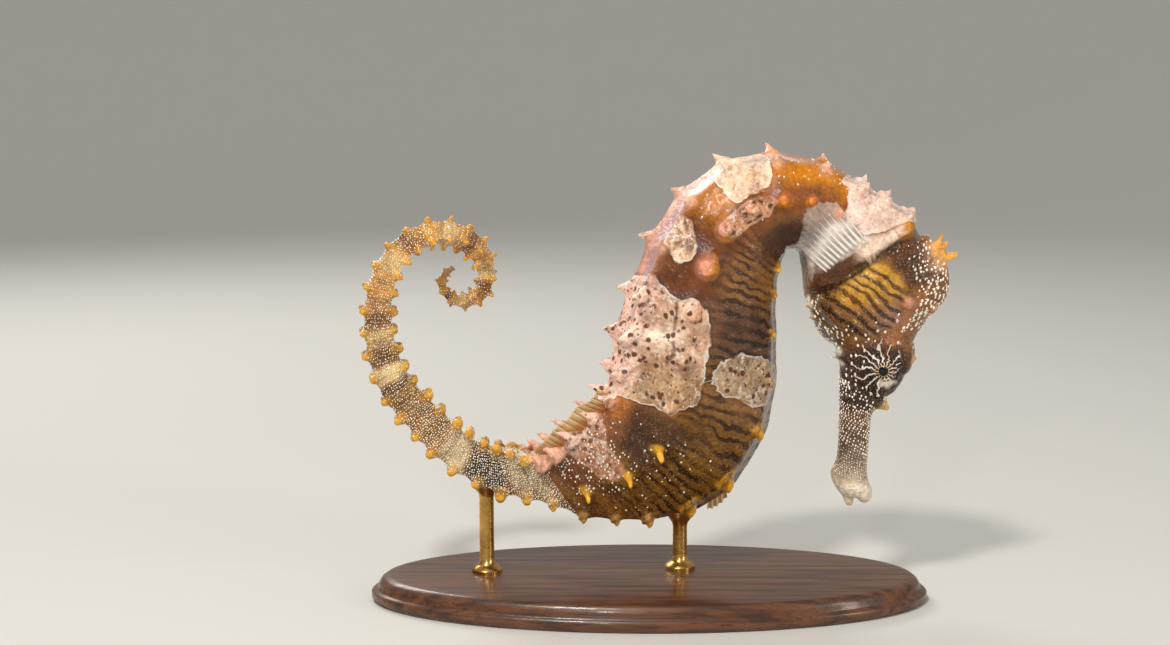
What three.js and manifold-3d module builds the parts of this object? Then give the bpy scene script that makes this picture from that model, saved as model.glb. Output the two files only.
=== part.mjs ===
// A lined seahorse (Hippocampus erectus), a grown female at life size, held over a plain base by two rods.
// Millimetres, +Z up. The animal faces +X, so its right side faces -Y. The origin is the middle of the
// underside of the base.
import * as THREE from 'three';
import { mergeVertices } from 'three/addons/utils/BufferGeometryUtils.js';
import Module from 'manifold-3d';

const wasm = await Module();
wasm.setup();

// ---------------------------------------------------------------------------------------------------
// Driving dimensions
// ---------------------------------------------------------------------------------------------------

const GAP = 0.3; // clear space between neighbouring solids

// Body rings, from the gill crease (0) through the 11 trunk rings to the first 10 tail rings:
// [back x, back z, belly x, belly z, half width, roll of the back towards the right side in degrees].
const BODY_RINGS = [
  [37.5, 49.6, 20.7, 42.2, 5.7, 13],
  [35.8, 53.2, 20.1, 47.0, 5.6, 12],
  [32.4, 55.3, 19.7, 47.8, 5.6, 9],
  [29.2, 57.3, 19.3, 48.0, 5.7, 7],
  [23.6, 60.3, 18.9, 48.0, 6.0, 6],
  [16.2, 61.4, 18.5, 47.9, 6.4, 8],
  [9.5, 59.8, 18.2, 47.1, 6.9, 12],
  [3.8, 55.7, 17.8, 45.1, 7.3, 16],
  [-0.3, 49.8, 17.6, 41.7, 7.6, 18],
  [-3.4, 43.0, 17.8, 36.5, 7.7, 18],
  [-5.5, 37.4, 18.0, 29.6, 7.5, 18],
  [-6.1, 32.8, 16.6, 22.4, 6.9, 17],
  [-6.9, 29.3, 12.2, 15.2, 6.0, 16],
  [-8.8, 26.8, 6.9, 11.6, 5.1, 15],
  [-11.3, 23.7, 0.9, 10.2, 4.5, 15],
  [-13.4, 21.6, -4.0, 10.6, 4.1, 14],
  [-15.1, 20.5, -8.7, 11.2, 3.8, 14],
  [-17.3, 20.6, -12.8, 12.9, 3.6, 13],
  [-19.0, 21.0, -16.5, 13.7, 3.5, 13],
  [-20.7, 21.2, -20.1, 14.3, 3.4, 13],
  [-22.4, 22.0, -23.6, 15.8, 3.3, 13],
  [-24.4, 23.2, -27.0, 17.6, 3.2, 13],
];

// The axis of the rest of the tail [x, y, z]: it rises behind the back, arches over and curls in.
const TAIL_AXIS = [
  [-25.7, 0, 20.4], [-28.9, 0, 23.3], [-31.9, 0, 26.4], [-34.6, 0, 29.9], [-36.1, 0, 33.7],
  [-36.7, 0, 37.8], [-36.4, 0, 42.2], [-34.8, 0.3, 46.3], [-31.8, 0.9, 49.2], [-28.0, 1.9, 50.1],
  [-24.5, 3.2, 48.7], [-22.4, 4.6, 45.6], [-22.8, 6.0, 42.2], [-25.4, 7.2, 40.2], [-28.0, 8.0, 41.1],
  [-28.6, 8.4, 43.3], [-27.0, 8.6, 44.8],
];
const TAIL_RINGS = 26; // tail rings on that axis; the first 10 are in BODY_RINGS
const TAIL_TWIST = 85; // degrees, the back turns this far towards the right side in the curl
const TAIL_THICKNESS = [3.65, 3.3, 2.85, 2.4, 2.0, 1.55, 1.05, 0.5]; // half diagonal, evenly along it

// Head sections from the gill crease to the lips:
// [top x, top z, throat x, throat z, half width].
const HEAD_SECTIONS = [
  [37.5, 49.6, 20.7, 42.2, 5.7],
  [39.7, 46.3, 21.2, 40.7, 6.0],
  [40.1, 43.8, 21.7, 39.1, 6.1],
  [39.6, 41.4, 22.4, 37.6, 5.8],
  [37.4, 38.9, 23.8, 36.2, 5.1],
  [35.7, 36.1, 25.1, 34.7, 4.2],
  [34.8, 33.6, 25.7, 32.8, 3.5],
  [33.8, 30.6, 25.7, 30.6, 3.0],
  [32.2, 28.2, 25.7, 28.2, 2.6],
  [30.2, 25.6, 25.7, 25.9, 2.2],
  [29.9, 22.9, 25.7, 23.1, 2.0],
  [29.7, 19.8, 25.5, 19.8, 2.0],
  [29.7, 17.1, 24.7, 17.4, 2.2],
  [30.3, 14.9, 25.2, 15.2, 2.1],
  [29.7, 13.8, 26.4, 13.5, 1.2],
];
const HEAD_ROLL = 14; // degrees, as BODY_RINGS
const SNOUT_START = 9; // the head section where the snout leaves the head
const LIPS = HEAD_SECTIONS.length - 1;

// Places on the head are [section, share of the half depth towards the top, share of the half width].
const EYE = { place: [6.65, 0.48, 0.84], radius: 1.75 };
const EYE_TURRET = { inset: 1.2, along: 3.0, high: 2.9, out: 2.75 };
const GILL_DOME = { place: [2.1, -0.12, 0.42], along: 5.3, high: 6.3, out: 4.3 };
const HEAD_SPINES = [
  { place: [8.55, 0.95, 0], aim: [0.75, 1, 0], length: 1.6, radius: 0.75 }, // nose
  { place: [5.75, -0.86, 0.45], aim: [0, -1, 0.5], length: 1.9, radius: 0.6 }, // cheeks
  { place: [5.55, 0.72, 0.6], aim: [-0.2, 1, 0.7], length: 1.7, radius: 0.7 }, // above the eyes
  { place: [3.35, 0.86, 0.42], aim: [0.1, 1, 0.6], length: 1.2, radius: 0.7 }, // temples
  { place: [1.35, -0.9, 0.4], aim: [0, -1, 0.4], length: 1.1, radius: 0.6 }, // throat
];
const CORONET = { place: [0.62, 0.9, 0], radius: 1.7, height: 1.6, points: 5, pointLength: 1.8, flare: 28 };

// Heights of the spines on the ridges; those of the upper ridges go by ring number.
const UPPER_SPINES = [
  0, 1.0, 1.5, 1.4, 1.4, 1.5, 1.8, 1.5, 1.9, 1.9, 1.7, 1.6, 1.7, 1.3, 1.0, 0.9, 0.9, 0.9,
];
const SIDE_SPINE = 1.0;
const LOWER_SPINE = 0.8;
const TAIL_KNOB = 0.55; // falls to nothing at the tip

// Fins: the pectorals behind the gill covers, the dorsal on the back, the small anal under the belly.
const FIN_THICKNESS = 0.55;
const PECTORAL = { ring: 0.6, from: 83, to: 129, rays: 8, length: 5.8, spread: 14, standOut: 22 };
const DORSAL = { start: 11.8, end: 15.8, rays: 12, height: 4.8, lean: 25 };
const ANAL = { start: 12.2, end: 12.7, rays: 3, height: 1.3, lean: 45 };

const BASE = { length: 76, width: 36, height: 3.5, bevel: 0.7 };
const ROD = { radius: 1.0, rings: { front: 13.45, rear: 19.6 } };

// ---------------------------------------------------------------------------------------------------
// Splines and frames
// ---------------------------------------------------------------------------------------------------

const radians = THREE.MathUtils.degToRad;
const mix = THREE.MathUtils.lerp;
const smooth = (x, low, high) => THREE.MathUtils.smoothstep(x, low, high);
const vector = (x, y, z) => new THREE.Vector3(x, y, z);

// One number of a list of rows at the fractional row u, by a Catmull-Rom spline.
function splineValue(rows, u, column) {
  const last = rows.length - 1;
  const i = Math.min(Math.max(Math.floor(u), 0), last - 1);
  const t = u - i;
  const at = (k) => {
    if (k < 0) return 2 * rows[0][column] - rows[1][column];
    if (k > last) return 2 * rows[last][column] - rows[last - 1][column];
    return rows[k][column];
  };
  const [a, b, c, d] = [at(i - 1), at(i), at(i + 1), at(i + 2)];
  return b + 0.5 * t * (c - a + t * (2 * a - 5 * b + 4 * c - d + t * (3 * (b - c) + d - a)));
}

const splineRow = (rows, u) => rows[0].map((_, column) => splineValue(rows, u, column));

// A frame is a centre, a half-depth vector to the back and a half-width vector to the right side.
function frameFromSection([backX, backZ, bellyX, bellyZ, halfWidth], roll, depthFactor = 1) {
  const centre = vector((backX + bellyX) / 2, 0, (backZ + bellyZ) / 2);
  const back = vector((backX - bellyX) / 2, 0, (backZ - bellyZ) / 2).multiplyScalar(depthFactor);
  const forward = back.clone().normalize().cross(vector(0, -1, 0));
  const right = vector(0, -halfWidth, 0).applyAxisAngle(forward, radians(roll));
  back.applyAxisAngle(forward, radians(roll));
  return { centre, back, right };
}

const headFrame = (u) => frameFromSection(splineRow(HEAD_SECTIONS, u), HEAD_ROLL);

// The tail's rings get closer together towards the tip; this is the way along the axis to ring k.
const TAIL_STEP = 2.85;
const TAIL_STEP_LOSS = 0.00086;
const tailDistance = (k) => TAIL_STEP * k - TAIL_STEP_LOSS * k ** 3;

function tailFrames(start) {
  const curve = new THREE.CatmullRomCurve3(TAIL_AXIS.map((p) => vector(...p)));
  curve.arcLengthDivisions = 400;
  const full = tailDistance(TAIL_RINGS);
  const frames = [];
  const direction = start.back.clone().normalize();
  for (let k = 1; k <= TAIL_RINGS; k += 1) {
    const along = tailDistance(k) / full;
    const tangent = curve.getTangentAt(along);
    direction.addScaledVector(tangent, -direction.dot(tangent)).normalize();
    const twist = radians(TAIL_TWIST) * smooth(k, 9, TAIL_RINGS);
    const back = direction.clone().applyAxisAngle(tangent, -twist);
    const right = tangent.clone().cross(back).negate();
    const rows = TAIL_THICKNESS.map((thickness) => [thickness]);
    const size = splineValue(rows, along * (rows.length - 1), 0);
    frames.push({
      centre: curve.getPointAt(along),
      back: back.multiplyScalar(size),
      right: right.multiplyScalar(size),
    });
  }
  return frames;
}

const RING_FRAMES = BODY_RINGS.map((row, ring) => {
  const depthFactor = mix(1.03, 1.17, smooth(ring, 12, 17)); // a ridge, not the flat back, is the outline
  return frameFromSection(row, row[5], depthFactor);
});
RING_FRAMES.push(...tailFrames(RING_FRAMES.at(-1)));
const LAST_RING = RING_FRAMES.length - 1;

const FRAME_ROWS = RING_FRAMES.map(({ centre, back, right }) => [
  ...centre.toArray(), ...back.toArray(), ...right.toArray(),
]);

// The body's frame at any ring number, whole or not.
function bodyFrame(u) {
  const row = splineRow(FRAME_ROWS, u);
  const [centre, back, right] = [0, 3, 6].map((first) => vector(...row.slice(first, first + 3)));
  return { centre, back, right };
}

const forwardOf = (frame) => frame.back.clone().cross(frame.right).normalize();

const placeIn = (frame, up, out) => (
  frame.centre.clone().addScaledVector(frame.back, up).addScaledVector(frame.right, out)
);

// ---------------------------------------------------------------------------------------------------
// Solids from sections
// ---------------------------------------------------------------------------------------------------

// A closed solid through loops of points that run anticlockwise seen from the last one's end, with
// each end closed by a fan.
function loft(loops) {
  const count = loops[0].length;
  const points = loops.flat();
  const middle = (loop) => loop.reduce((sum, p) => sum.add(p), vector(0, 0, 0)).divideScalar(count);
  const triangles = [];
  for (let j = 0; j < loops.length - 1; j += 1) {
    for (let i = 0; i < count; i += 1) {
      const next = (i + 1) % count;
      const [a, b, c, d] = [j * count + i, j * count + next, (j + 1) * count + next, (j + 1) * count + i];
      triangles.push(a, b, c, a, c, d);
    }
  }
  const startCap = points.push(middle(loops[0])) - 1;
  const endCap = points.push(middle(loops.at(-1))) - 1;
  const lastLoop = (loops.length - 1) * count;
  for (let i = 0; i < count; i += 1) {
    const next = (i + 1) % count;
    triangles.push(startCap, next, i, endCap, lastLoop + i, lastLoop + next);
  }
  return new wasm.Manifold(new wasm.Mesh({
    numProp: 3,
    vertProperties: new Float32Array(points.flatMap((p) => p.toArray())),
    triVerts: new Uint32Array(triangles),
  }));
}

function solidOf(geometry) {
  const bare = geometry.clone();
  bare.deleteAttribute('normal');
  bare.deleteAttribute('uv');
  const merged = mergeVertices(bare, 1e-5);
  return new wasm.Manifold(new wasm.Mesh({
    numProp: 3,
    vertProperties: merged.attributes.position.array,
    triVerts: new Uint32Array(merged.index.array),
  }));
}

function geometryOf(solid) {
  const mesh = solid.getMesh();
  const geometry = new THREE.BufferGeometry();
  geometry.setAttribute('position', new THREE.BufferAttribute(mesh.vertProperties, 3));
  geometry.setIndex(new THREE.BufferAttribute(mesh.triVerts, 1));
  return geometry;
}

// A cone with a blunt tip, standing on a point along a direction.
function spine(base, direction, length, radius, tipRadius = 0.12) {
  const geometry = new THREE.CylinderGeometry(tipRadius, radius, length, 7);
  const up = vector(0, 1, 0);
  geometry.translate(0, length / 2, 0);
  geometry.applyQuaternion(new THREE.Quaternion().setFromUnitVectors(up, direction.clone().normalize()));
  geometry.translate(base.x, base.y, base.z);
  return solidOf(geometry);
}

function ball(centre, radius, widthSegments = 14, heightSegments = 10) {
  const geometry = new THREE.SphereGeometry(radius, widthSegments, heightSegments);
  geometry.translate(centre.x, centre.y, centre.z);
  return solidOf(geometry);
}

// An ellipsoid with half sizes along, high and out on the three directions of a place.
function ellipsoid(centre, directions, { along, high, out }) {
  const axes = new THREE.Matrix4().makeBasis(
    directions.along.clone().multiplyScalar(along),
    directions.high.clone().multiplyScalar(high),
    directions.outward.clone().multiplyScalar(out),
  );
  const mirrored = axes.determinant() < 0;
  const geometry = new THREE.SphereGeometry(1, 16, 10);
  if (mirrored) geometry.scale(-1, 1, 1);
  geometry.applyMatrix4(axes);
  geometry.translate(centre.x, centre.y, centre.z);
  return solidOf(geometry);
}

// A thin plate of even thickness over a grid of points, as fins are.
function plate(grid, thickness) {
  const within = (list, k) => list[THREE.MathUtils.clamp(k, 0, list.length - 1)];
  const at = (j, i) => within(within(grid, j), i);
  const offset = (side) => grid.map((row, j) => row.map((point, i) => {
    const across = at(j, i + 1).clone().sub(at(j, i - 1));
    const along = at(j + 1, i).clone().sub(at(j - 1, i));
    return point.clone().addScaledVector(across.cross(along).normalize(), side * thickness / 2);
  }));
  const [front, behind] = [offset(1), offset(-1)];
  return loft(grid.map((_, j) => [...front[j], ...behind[j].slice().reverse()]));
}

// ---------------------------------------------------------------------------------------------------
// Ringed body: seven ridges on the trunk, four on the tail
// ---------------------------------------------------------------------------------------------------

// Half a section from the back to the belly, as [angle, radius] of its corners on the trunk and on the
// tail, with the ridge that a corner stands on.
const TRUNK_CORNERS = [
  { trunk: [0, 0.84], tail: [0, 0.72] },
  { trunk: [35, 1.0], tail: [45, 1.0], ridge: 'upper' },
  { trunk: [57, 0.94], tail: [67, 0.79] },
  { trunk: [80, 1.0], tail: [90, 0.74], ridge: 'side' },
  { trunk: [110, 0.92], tail: [112, 0.79] },
  { trunk: [141, 0.98], tail: [135, 1.0], ridge: 'lower' },
  { trunk: [161, 0.95], tail: [157, 0.79] },
  { trunk: [180, 1.0], tail: [180, 0.72] },
];
const TAIL_CORNERS = TRUNK_CORNERS.filter((_, index) => [0, 1, 3, 5, 7].includes(index));

function spineLength(ridge, ring) {
  const knob = TAIL_KNOB * (1 - Math.max(ring - 17, 0) / (LAST_RING - 17));
  if (ridge === 'upper') return UPPER_SPINES[ring] ?? knob;
  if (ridge === 'side') return ring > 15 || ring < 2 ? 0 : SIDE_SPINE;
  if (ridge === 'lower') return ring > 17 ? knob : LOWER_SPINE * smooth(ring, 3, 9);
  return 0;
}

// One loop of corners. Waist draws the faces in between rings; raise lifts the spines at a ring.
function ringLoop(corners, u, waist, raise) {
  const frame = bodyFrame(u);
  const tailness = smooth(u, 12, 17.5);
  const corner = ({ trunk, tail, ridge }, sign) => {
    const angle = radians(mix(trunk[0], tail[0], tailness)) * sign;
    const radius = mix(trunk[1], tail[1], tailness) * waist;
    const point = placeIn(frame, radius * Math.cos(angle), radius * Math.sin(angle));
    const outward = point.clone().sub(frame.centre).normalize();
    return point.addScaledVector(outward, raise ? spineLength(ridge, Math.round(u)) : 0);
  };
  const rightSide = corners.map((part) => corner(part, 1));
  const leftSide = corners.slice(1, -1).map((part) => corner(part, -1)).reverse();
  return [...rightSide, ...leftSide];
}

// The body between two ring numbers, less half a gap at each cut end.
function bodyLength(start, end) {
  const corners = start > 17 ? TAIL_CORNERS : TRUNK_CORNERS;
  const ringWidth = 0.24;
  const waist = 0.965;
  const shoulder = 0.985;
  const loops = [];
  const cutLoop = (u, shift) => {
    const forward = forwardOf(bodyFrame(u));
    return ringLoop(corners, u, waist, false).map((p) => p.addScaledVector(forward, shift));
  };
  loops.push(cutLoop(start, -GAP / 2));
  for (let ring = Math.ceil(start + 0.3); ring < end - 0.3; ring += 1) {
    loops.push(ringLoop(corners, ring - ringWidth, shoulder, false));
    loops.push(ringLoop(corners, ring, 1, true));
    loops.push(ringLoop(corners, ring + ringWidth, shoulder, false));
  }
  loops.push(cutLoop(end, GAP / 2));
  return loft(loops.reverse());
}

// ---------------------------------------------------------------------------------------------------
// Head
// ---------------------------------------------------------------------------------------------------

const HEAD_CORNERS = 16;

function headLoop(u, inflate = 0) {
  const frame = headFrame(u);
  return Array.from({ length: HEAD_CORNERS }, (_, i) => {
    const angle = 2 * Math.PI * i / HEAD_CORNERS;
    const narrowTop = mix(1, 0.72, Math.max(Math.cos(angle), 0) * (1 - smooth(u, 6, 9)));
    const point = placeIn(frame, Math.cos(angle), Math.sin(angle) * narrowTop);
    return point.addScaledVector(point.clone().sub(frame.centre).normalize(), inflate);
  });
}

function headLength(start, end, inflate = 0) {
  const steps = Math.round((end - start) / 0.5);
  const loops = Array.from({ length: steps + 1 }, (_, j) => headLoop(mix(start, end, j / steps), inflate));
  const cutBack = (loop, u, distance) => {
    const forward = forwardOf(headFrame(u));
    loop.forEach((p) => p.addScaledVector(forward, distance));
  };
  cutBack(loops[0], start, GAP / 2);
  if (end < LIPS) cutBack(loops.at(-1), end, -GAP / 2);
  return loft(loops);
}

// A place on the head for one side, with its directions: towards the lips, the top and that side.
function headPlace([section, up, out], side) {
  const frame = headFrame(section);
  return {
    point: placeIn(frame, up, out * side),
    along: forwardOf(frame),
    high: frame.back.clone().normalize(),
    outward: frame.right.clone().normalize().multiplyScalar(side),
  };
}

const eyeCentre = (side) => headPlace(EYE.place, side).point;

function headSolid() {
  let head = headLength(0, SNOUT_START);
  for (const side of [1, -1]) {
    const gill = headPlace(GILL_DOME.place, side);
    head = head.add(ellipsoid(gill.point, gill, GILL_DOME));
    const eye = headPlace(EYE.place, side);
    const turretCentre = eye.point.clone().addScaledVector(eye.outward, -EYE_TURRET.inset);
    head = head.add(ellipsoid(turretCentre, eye, EYE_TURRET));
  }
  for (const { place, aim, length, radius } of HEAD_SPINES) {
    for (const side of place[2] === 0 ? [1] : [1, -1]) {
      const { point, along, high, outward } = headPlace(place, side);
      const direction = vector(0, 0, 0).addScaledVector(along, aim[0]);
      direction.addScaledVector(high, aim[1]).addScaledVector(outward, aim[2]);
      head = head.add(spine(point, direction, length, radius));
    }
  }
  for (const side of [1, -1]) {
    head = head.subtract(ball(eyeCentre(side), EYE.radius + GAP, 16, 10));
  }
  // The gill domes and turrets stay on the head's side of the two cuts.
  return head.intersect(headLength(0, SNOUT_START, 6));
}

// A five-pointed crown on a short neck, standing on the top of the head.
function coronetSolid() {
  const { point, along, high } = headPlace(CORONET.place, 1);
  const axis = high.clone().addScaledVector(along, -0.35).normalize();
  const rim = point.clone().addScaledVector(axis, CORONET.height);
  const root = point.clone().addScaledVector(axis, -1);
  let crown = spine(root, axis, CORONET.height + 1, CORONET.radius * 0.8, CORONET.radius);
  const toSide = axis.clone().cross(along).normalize();
  for (let i = 0; i < CORONET.points; i += 1) {
    const around = toSide.clone().applyAxisAngle(axis, 2 * Math.PI * (i + 0.25) / CORONET.points);
    const direction = axis.clone().applyAxisAngle(axis.clone().cross(around), radians(CORONET.flare));
    const foot = rim.clone().addScaledVector(around, CORONET.radius * 0.6).addScaledVector(axis, -0.4);
    crown = crown.add(spine(foot, direction, CORONET.pointLength + 0.4, 0.62));
  }
  return crown.subtract(headLength(0, SNOUT_START, GAP)).subtract(bodyLength(0, 4.5));
}

// ---------------------------------------------------------------------------------------------------
// Fins
// ---------------------------------------------------------------------------------------------------

// A fan of rays behind the gill cover, lying back along the neck and standing out a little.
function pectoralFin(side) {
  const { ring, from, to, rays, length, spread, standOut } = PECTORAL;
  const frame = bodyFrame(ring);
  const tailward = forwardOf(frame).negate();
  const grid = Array.from({ length: rays }, (_, j) => {
    const share = j / (rays - 1);
    const angle = radians(mix(from, to, share));
    const foot = placeIn(frame, Math.cos(angle), Math.sin(angle) * side);
    const outward = foot.clone().sub(frame.centre).normalize();
    foot.addScaledVector(outward, FIN_THICKNESS + GAP);
    const fan = radians(mix(spread, -spread, share));
    const ray = tailward.clone().multiplyScalar(Math.cos(fan));
    ray.addScaledVector(frame.back.clone().normalize(), Math.sin(fan));
    ray.multiplyScalar(Math.cos(radians(standOut))).addScaledVector(outward, Math.sin(radians(standOut)));
    const rayLength = length * (0.78 + 0.22 * Math.sin(Math.PI * share));
    return [0, 0.25, 0.5, 0.75, 1].map((t) => foot.clone().addScaledVector(ray, t * rayLength));
  });
  return plate(side > 0 ? grid : grid.reverse(), FIN_THICKNESS);
}

// A low fin on the middle line: up is 1 on the back and -1 on the belly, and its rays lean tailward.
function middleFin({ start, end, rays, height, lean }, up) {
  const grid = Array.from({ length: rays }, (_, j) => {
    const share = j / (rays - 1);
    const frame = bodyFrame(mix(start, end, share));
    const outward = frame.back.clone().normalize().multiplyScalar(up);
    const ray = outward.clone().multiplyScalar(Math.cos(radians(lean)));
    ray.addScaledVector(forwardOf(frame), -Math.sin(radians(lean)));
    const foot = placeIn(frame, up > 0 ? 0.82 : -1, 0).addScaledVector(outward, GAP + 0.1);
    const rayHeight = height * (0.55 + 0.45 * Math.sin(Math.PI * (0.15 + 0.75 * share)));
    return [0, 0.5, 1].map((t) => foot.clone().addScaledVector(ray, t * rayHeight));
  });
  return plate(grid, FIN_THICKNESS);
}

// ---------------------------------------------------------------------------------------------------
// Display stand
// ---------------------------------------------------------------------------------------------------

function baseGeometry() {
  const { length, width, height, bevel } = BASE;
  const outline = new THREE.Shape();
  outline.absellipse(0, 0, length / 2 - bevel, width / 2 - bevel, 0, 2 * Math.PI);
  const geometry = new THREE.ExtrudeGeometry(outline, {
    depth: height - 2 * bevel, bevelThickness: bevel, bevelSize: bevel, bevelSegments: 1, curveSegments: 20,
  });
  geometry.translate(0, 0, bevel);
  return geometry;
}

// A rod from the base to just under the belly line at a ring.
function rodGeometry(ring) {
  const top = placeIn(bodyFrame(ring), -1, 0);
  const bottom = BASE.height + GAP;
  const height = top.z - GAP - 0.3 - bottom;
  const geometry = new THREE.CylinderGeometry(ROD.radius, ROD.radius, height, 16);
  geometry.rotateX(Math.PI / 2);
  geometry.translate(top.x, top.y, bottom + height / 2);
  return geometry;
}

// ---------------------------------------------------------------------------------------------------
// The model
// ---------------------------------------------------------------------------------------------------

const group = new THREE.Group();

function addPart(name, geometry, color, roughness = 0.45, metalness = 0) {
  const mesh = new THREE.Mesh(geometry, new THREE.MeshStandardMaterial({ color, roughness, metalness }));
  mesh.name = name;
  group.add(mesh);
  return mesh;
}

const HIDE_BROWN = 0xa4622f;
const HIDE_TAN = 0xb98a52;
const FIN_GREY = 0xc9bda6;

const BODY_LENGTHS = [
  ['neck', 0, 4.5],
  ['trunk_upper', 4.5, 8.5],
  ['trunk_lower', 8.5, 12.5],
  ['tail_1', 12.5, 17.5],
  ['tail_2', 17.5, 22.5],
  ['tail_3', 22.5, 28.5],
  ['tail_4', 28.5, 35.5],
  ['tail_5', 35.5, 41.5],
  ['tail_6', 41.5, LAST_RING],
];
for (const [name, start, end] of BODY_LENGTHS) {
  addPart(name, geometryOf(bodyLength(start, end)), name.startsWith('tail') ? HIDE_TAN : HIDE_BROWN);
}

addPart('head', geometryOf(headSolid()), HIDE_BROWN);
addPart('snout', geometryOf(headLength(SNOUT_START, LIPS)), HIDE_TAN);
addPart('coronet', geometryOf(coronetSolid()), HIDE_TAN);
for (const side of [1, -1]) {
  const name = side > 0 ? 'right' : 'left';
  addPart(`eye_${name}`, geometryOf(ball(eyeCentre(side), EYE.radius)), 0x111111, 0.1);
  addPart(`pectoral_fin_${name}`, geometryOf(pectoralFin(side)), FIN_GREY, 0.3);
}
addPart('dorsal_fin', geometryOf(middleFin(DORSAL, 1)), FIN_GREY, 0.3);
addPart('anal_fin', geometryOf(middleFin(ANAL, -1)), FIN_GREY, 0.3);

addPart('stand_base', baseGeometry(), 0x3a2416, 0.35);
for (const [name, ring] of Object.entries(ROD.rings)) {
  addPart(`stand_rod_${name}`, rodGeometry(ring), 0xb08d4f, 0.3, 1);
}

export default group;
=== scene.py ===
# A lined seahorse at life size, head down and tail curled up behind it, held over an oval wooden base
# by two brass rods. Everything is in metres, +Z up; the animal faces +X and its right side faces -Y.
import math

import bpy
import numpy as np
from mathutils import Matrix, Vector, noise
from mathutils.bvhtree import BVHTree


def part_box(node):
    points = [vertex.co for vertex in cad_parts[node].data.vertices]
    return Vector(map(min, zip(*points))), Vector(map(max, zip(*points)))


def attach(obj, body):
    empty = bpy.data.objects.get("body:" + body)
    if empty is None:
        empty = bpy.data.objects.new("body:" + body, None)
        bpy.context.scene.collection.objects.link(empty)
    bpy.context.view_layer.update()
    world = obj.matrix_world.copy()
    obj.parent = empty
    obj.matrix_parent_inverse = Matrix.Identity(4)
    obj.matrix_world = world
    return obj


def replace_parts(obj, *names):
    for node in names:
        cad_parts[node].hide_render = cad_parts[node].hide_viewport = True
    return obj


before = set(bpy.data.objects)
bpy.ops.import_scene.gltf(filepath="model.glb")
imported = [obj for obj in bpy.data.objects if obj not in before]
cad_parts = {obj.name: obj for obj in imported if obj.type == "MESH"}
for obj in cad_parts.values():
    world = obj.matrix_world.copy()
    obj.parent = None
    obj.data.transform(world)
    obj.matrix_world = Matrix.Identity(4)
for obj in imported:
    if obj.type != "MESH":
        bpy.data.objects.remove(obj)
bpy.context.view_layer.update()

# ---------------------------------------------------------------------------------------------------
# Studio: a pale floor that sweeps up all round into a wall, soft lamps and a softly lit sky. It is
# turned from one profile. The camera stands on the animal's right, a little above it.
# ---------------------------------------------------------------------------------------------------

SWEEP_RADIUS = 0.7
SWEEP_CURVE = 0.5


def deselect_all():
    if bpy.context.mode != "OBJECT":
        bpy.ops.object.mode_set(mode="OBJECT")
    bpy.ops.object.select_all(action="DESELECT")


def paint(red, green, blue):
    """A colour from its 0 to 255 display values, as the shaders count it."""
    shares = [c / 255 for c in (red, green, blue)]
    return tuple(s / 12.92 if s <= 0.04045 else ((s + 0.055) / 1.055) ** 2.4 for s in shares) + (1.0,)


def turned_piece(name, profile, steps):
    """A piece turned on a lathe about the vertical axis from [radius, height] points, inner end first."""
    mesh = bpy.data.meshes.new(name)
    mesh.from_pydata([(r, 0, z) for r, z in profile], [(k, k + 1) for k in range(len(profile) - 1)], [])
    made = bpy.data.objects.new(name, mesh)
    bpy.context.scene.collection.objects.link(made)
    deselect_all()
    bpy.context.view_layer.objects.active = made
    made.select_set(True)
    bpy.ops.object.mode_set(mode="EDIT")
    bpy.ops.mesh.select_all(action="SELECT")
    bpy.ops.mesh.spin(steps=steps, angle=2 * math.pi, center=(0, 0, 0), axis=(0, 0, 1))
    bpy.ops.mesh.select_all(action="SELECT")
    bpy.ops.mesh.remove_doubles(threshold=1e-6)
    bpy.ops.mesh.normals_make_consistent(inside=False)
    bpy.ops.object.mode_set(mode="OBJECT")
    bpy.ops.object.shade_smooth()
    return made


curve = [(SWEEP_RADIUS + SWEEP_CURVE * math.sin(a), SWEEP_CURVE * (1 - math.cos(a)))
         for a in (math.radians(90 * k / 12) for k in range(13))]
floor = turned_piece("studio_floor", [(0, 0), (SWEEP_RADIUS / 2, 0)] + curve, 96)
if floor.data.polygons[0].normal.z < 0:
    floor.data.flip_normals()

floor_finish = bpy.data.materials.new("studio_paper")
floor_finish.use_nodes = True
floor_shader = floor_finish.node_tree.nodes["Principled BSDF"]
floor_shader.inputs["Base Color"].default_value = paint(214, 212, 206)
floor_shader.inputs["Roughness"].default_value = 0.9
floor.data.materials.append(floor_finish)


def lamp(name, place, target, width, depth, power, colour=(1, 1, 1)):
    light = bpy.data.lights.new(name, "AREA")
    light.shape = "RECTANGLE"
    light.size, light.size_y = width, depth
    light.energy = power
    light.color = colour
    lamp_object = bpy.data.objects.new(name, light)
    bpy.context.scene.collection.objects.link(lamp_object)
    lamp_object.location = place
    lamp_object.rotation_euler = (Vector(target) - Vector(place)).to_track_quat("-Z", "Y").to_euler()


lamp("key_lamp", (-0.12, -0.30, 0.40), (0, 0, 0.035), 0.055, 0.055, 1.38, (1.0, 0.97, 0.92))
lamp("side_lamp", (0.36, -0.22, 0.14), (0.01, 0, 0.035), 0.06, 0.14, 0.34, (1.0, 0.96, 0.9))
lamp("flash_lamp", (-0.05, -0.30, 0.14), (0, 0, 0.035), 0.014, 0.014, 0.13, (1.0, 0.98, 0.94))
lamp("back_lamp", (-0.22, 0.34, 0.34), (0, 0, 0.04), 0.25, 0.15, 0.95, (1.0, 0.98, 0.95))

sky = bpy.data.worlds.new("studio_sky")
sky.use_nodes = True
sky.node_tree.nodes["Background"].inputs["Color"].default_value = (1.0, 0.985, 0.96, 1)
sky.node_tree.nodes["Background"].inputs["Strength"].default_value = 0.44
bpy.context.scene.world = sky
bpy.context.scene.view_settings.view_transform = "Standard"

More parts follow.
